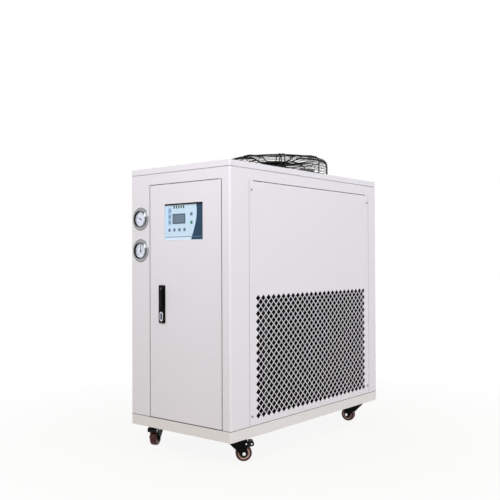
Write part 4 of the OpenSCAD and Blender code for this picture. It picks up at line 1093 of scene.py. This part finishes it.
def both_ends(at, reach):
    """The matrices of the two ends of an axle, each with its local Z outwards."""
    for flip in (Matrix.Identity(4), Matrix.Rotation(math.pi, 4, "X")):
        yield at @ flip @ Matrix.Translation((0, 0, reach))


def mirrored(half):
    """A closed lathe profile from its half at one side of the wheel."""
    return [(radius, -height) for radius, height in half] + half[::-1]


def wheel(castor):
    """Tread, pale hub ring and dark hub disc of a wheel."""
    at = axle_matrix(castor)
    lo, hi = corners("wheel_" + castor)
    r = (hi.z - lo.z) / 2
    w = WHEEL_HALF
    hub, disc_r = r * HUB_SHARE, r * HUB_DISC_SHARE
    tread = [(hub, w - HUB_LIP_IN), (hub + HUB_LIP, w)]
    tread += [(r - inset, w - below) for inset, below in TREAD_EDGE]
    ring = [(disc_r, w - HUB_RING_IN), (hub, w - HUB_RING_OUT)]
    disc = [(AXLE_R, w), (r * BOSS_SHARE, w), (r * BOSS_FOOT_SHARE, w - HUB_DISC_IN),
            (disc_r + HUB_DISC_LAP, w - HUB_DISC_IN)]
    for name, half, segments, material in (("tread_", tread, TREAD_SEGMENTS, tread_skin),
                                           ("hub_", ring, HUB_SEGMENTS, hub_plastic),
                                           ("hub_disc_", disc, HUB_SEGMENTS, hub_dark)):
        bm = bmesh.new()
        lathe(bm, mirrored(half), at, segments)
        piece(name + castor, bm, "roller_" + castor, material)
    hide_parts("wheel_" + castor)


def nuts(castor):
    """Zinc plated nut and pin end over each end of the axle."""
    pin = [(0, NUT_T), (PIN_R, NUT_T), (PIN_R, NUT_T + PIN_SIDE), (PIN_TOP_R, NUT_T + PIN_OUT),
           (0, NUT_T + PIN_OUT)]
    bm = bmesh.new()
    for place in both_ends(axle_matrix(castor), FORK_HALF):
        plate(bm, circle_points(0, 0, NUT_R, HEXAGON), NUT_T, place)
        lathe(bm, pin, place, RIVET_SEGMENTS, False)
    piece("axle_nuts_" + castor, bm, "castor_" + castor, rivet_steel, 30)


def rivets(castor):
    """Bright rivet ends of a brake pedal: its pivot and the pin through its end."""
    at = axle_matrix(castor)
    forward = Vector((0, 0, 1)).cross(at.to_3x3() @ Vector((0, 0, 1))).normalized()
    lo, hi = corners("brake_" + castor)
    pedal_mid = (lo + hi) / 2
    outward = forward if forward.dot(pedal_mid - at.translation) > 0 else -forward
    bm = bmesh.new()
    for along in (PEDAL_PIN, PEDAL_END):
        shift = outward * along
        shift.z = pedal_mid.z - at.translation.z
        for place in both_ends(Matrix.Translation(shift) @ at, RIVET_HALF):
            lathe(bm, RIVET, place, RIVET_SEGMENTS, False)
    piece("rivets_" + castor, bm, "pedal_" + castor, rivet_steel, 40)


# Floor, light and camera

def math_node(nodes, links, operation, first, second):
    node = nodes.new("ShaderNodeMath")
    node.operation = operation
    links.new(first, node.inputs[0])
    links.new(second, node.inputs[1])
    return node.outputs["Value"]


def seen_directly(nodes, links):
    """1 for rays from the camera, and for those that chrome and glass send on."""
    rays = nodes.new("ShaderNodeLightPath").outputs
    seen = math_node(nodes, links, "MAXIMUM", rays["Is Camera Ray"], rays["Is Glossy Ray"])
    return math_node(nodes, links, "MAXIMUM", seen, rays["Is Transmission Ray"])


def stage():
    """A pale floor that takes the object's shadow and fades to white round it."""
    floor_mesh = bpy.data.meshes.new("floor")
    bm = bmesh.new()
    bmesh.ops.create_grid(bm, x_segments=1, y_segments=1, size=FLOOR_HALF)
    bm.to_mesh(floor_mesh)
    bm.free()
    floor = bpy.data.objects.new("floor", floor_mesh)
    bpy.context.collection.objects.link(floor)
    floor.location.z = FLOOR_Z
    material = bpy.data.materials.new("pale_floor")
    material.use_nodes = True
    nodes, links = material.node_tree.nodes, material.node_tree.links
    shader = nodes["Principled BSDF"]
    shader.inputs["Base Color"].default_value = (*FLOOR_COLOUR, 1)
    shader.inputs["Roughness"].default_value = FLOOR_ROUGH
    glow = nodes.new("ShaderNodeEmission")
    glow.inputs["Color"].default_value = (*WHITE, 1)
    glow.inputs["Strength"].default_value = 1.0
    place = nodes.new("ShaderNodeTexCoord")
    reach = nodes.new("ShaderNodeVectorMath")
    reach.operation = "LENGTH"
    links.new(place.outputs["Object"], reach.inputs[0])
    fade = nodes.new("ShaderNodeMapRange")
    fade.inputs["From Min"].default_value = GLOW_FROM
    fade.inputs["From Max"].default_value = GLOW_TO
    fade.inputs["To Min"].default_value = FLOOR_GLOW
    fade.inputs["To Max"].default_value = 1.0
    links.new(reach.outputs["Value"], fade.inputs["Value"])
    part = math_node(nodes, links, "MULTIPLY", seen_directly(nodes, links), fade.outputs["Result"])
    mix = nodes.new("ShaderNodeMixShader")
    links.new(part, mix.inputs["Fac"])
    links.new(shader.outputs["BSDF"], mix.inputs[1])
    links.new(glow.outputs["Emission"], mix.inputs[2])
    links.new(mix.outputs["Shader"], nodes["Material Output"].inputs["Surface"])
    floor_mesh.materials.append(material)


def world():
    """White to the eye and in reflections, and a softer fill on the object."""
    made = bpy.data.worlds.new("studio")
    bpy.context.scene.world = made
    made.use_nodes = True
    nodes, links = made.node_tree.nodes, made.node_tree.links
    background = nodes["Background"]
    background.inputs["Color"].default_value = (*WHITE, 1)
    strength = nodes.new("ShaderNodeMapRange")
    strength.inputs["To Min"].default_value = WORLD_LIGHT
    strength.inputs["To Max"].default_value = 1.0
    links.new(seen_directly(nodes, links), strength.inputs["Value"])
    links.new(strength.outputs["Result"], background.inputs["Strength"])


def area(name, place, target, size, power, colour):
    """A rectangular lamp that faces its target."""
    lamp = bpy.data.lights.new(name, "AREA")
    lamp.shape = "RECTANGLE"
    lamp.size, lamp.size_y = size
    lamp.energy = power
    lamp.color = colour
    made = bpy.data.objects.new(name, lamp)
    bpy.context.collection.objects.link(made)
    made.location = place
    made.rotation_mode = "QUATERNION"
    made.rotation_quaternion = (Vector(target) - Vector(place)).to_track_quat("-Z", "Y")


def camera():
    data = bpy.data.cameras.new("camera")
    data.sensor_width = CAMERA_SENSOR
    data.lens = CAMERA_LENS
    data.clip_start = CAMERA_NEAR
    made = bpy.data.objects.new("camera", data)
    bpy.context.collection.objects.link(made)
    made.matrix_world = (Matrix.Translation(CAMERA_PLACE)
                         @ Matrix.Rotation(math.radians(CAMERA_YAW), 4, "Z")
                         @ Matrix.Rotation(math.radians(90 - CAMERA_PITCH), 4, "X")
                         @ Matrix.Rotation(math.radians(CAMERA_ROLL), 4, "Z"))
    bpy.context.scene.camera = made


dress_nodes()
punched_panel()
screw_sockets()
seam_bands()
guard()
gauges()
keypad()
keypad_trim()
lock()
for screws in TERMINALS:
    terminals(*screws)
breaker_field()
for name in CASTORS:
    wheel(name)
    nuts(name)
    if name.startswith("front"):
        rivets(name)

stage()
world()
camera()
for lamp_row in STUDIO:
    area(*lamp_row)
bpy.context.scene.view_settings.view_transform = "Standard"
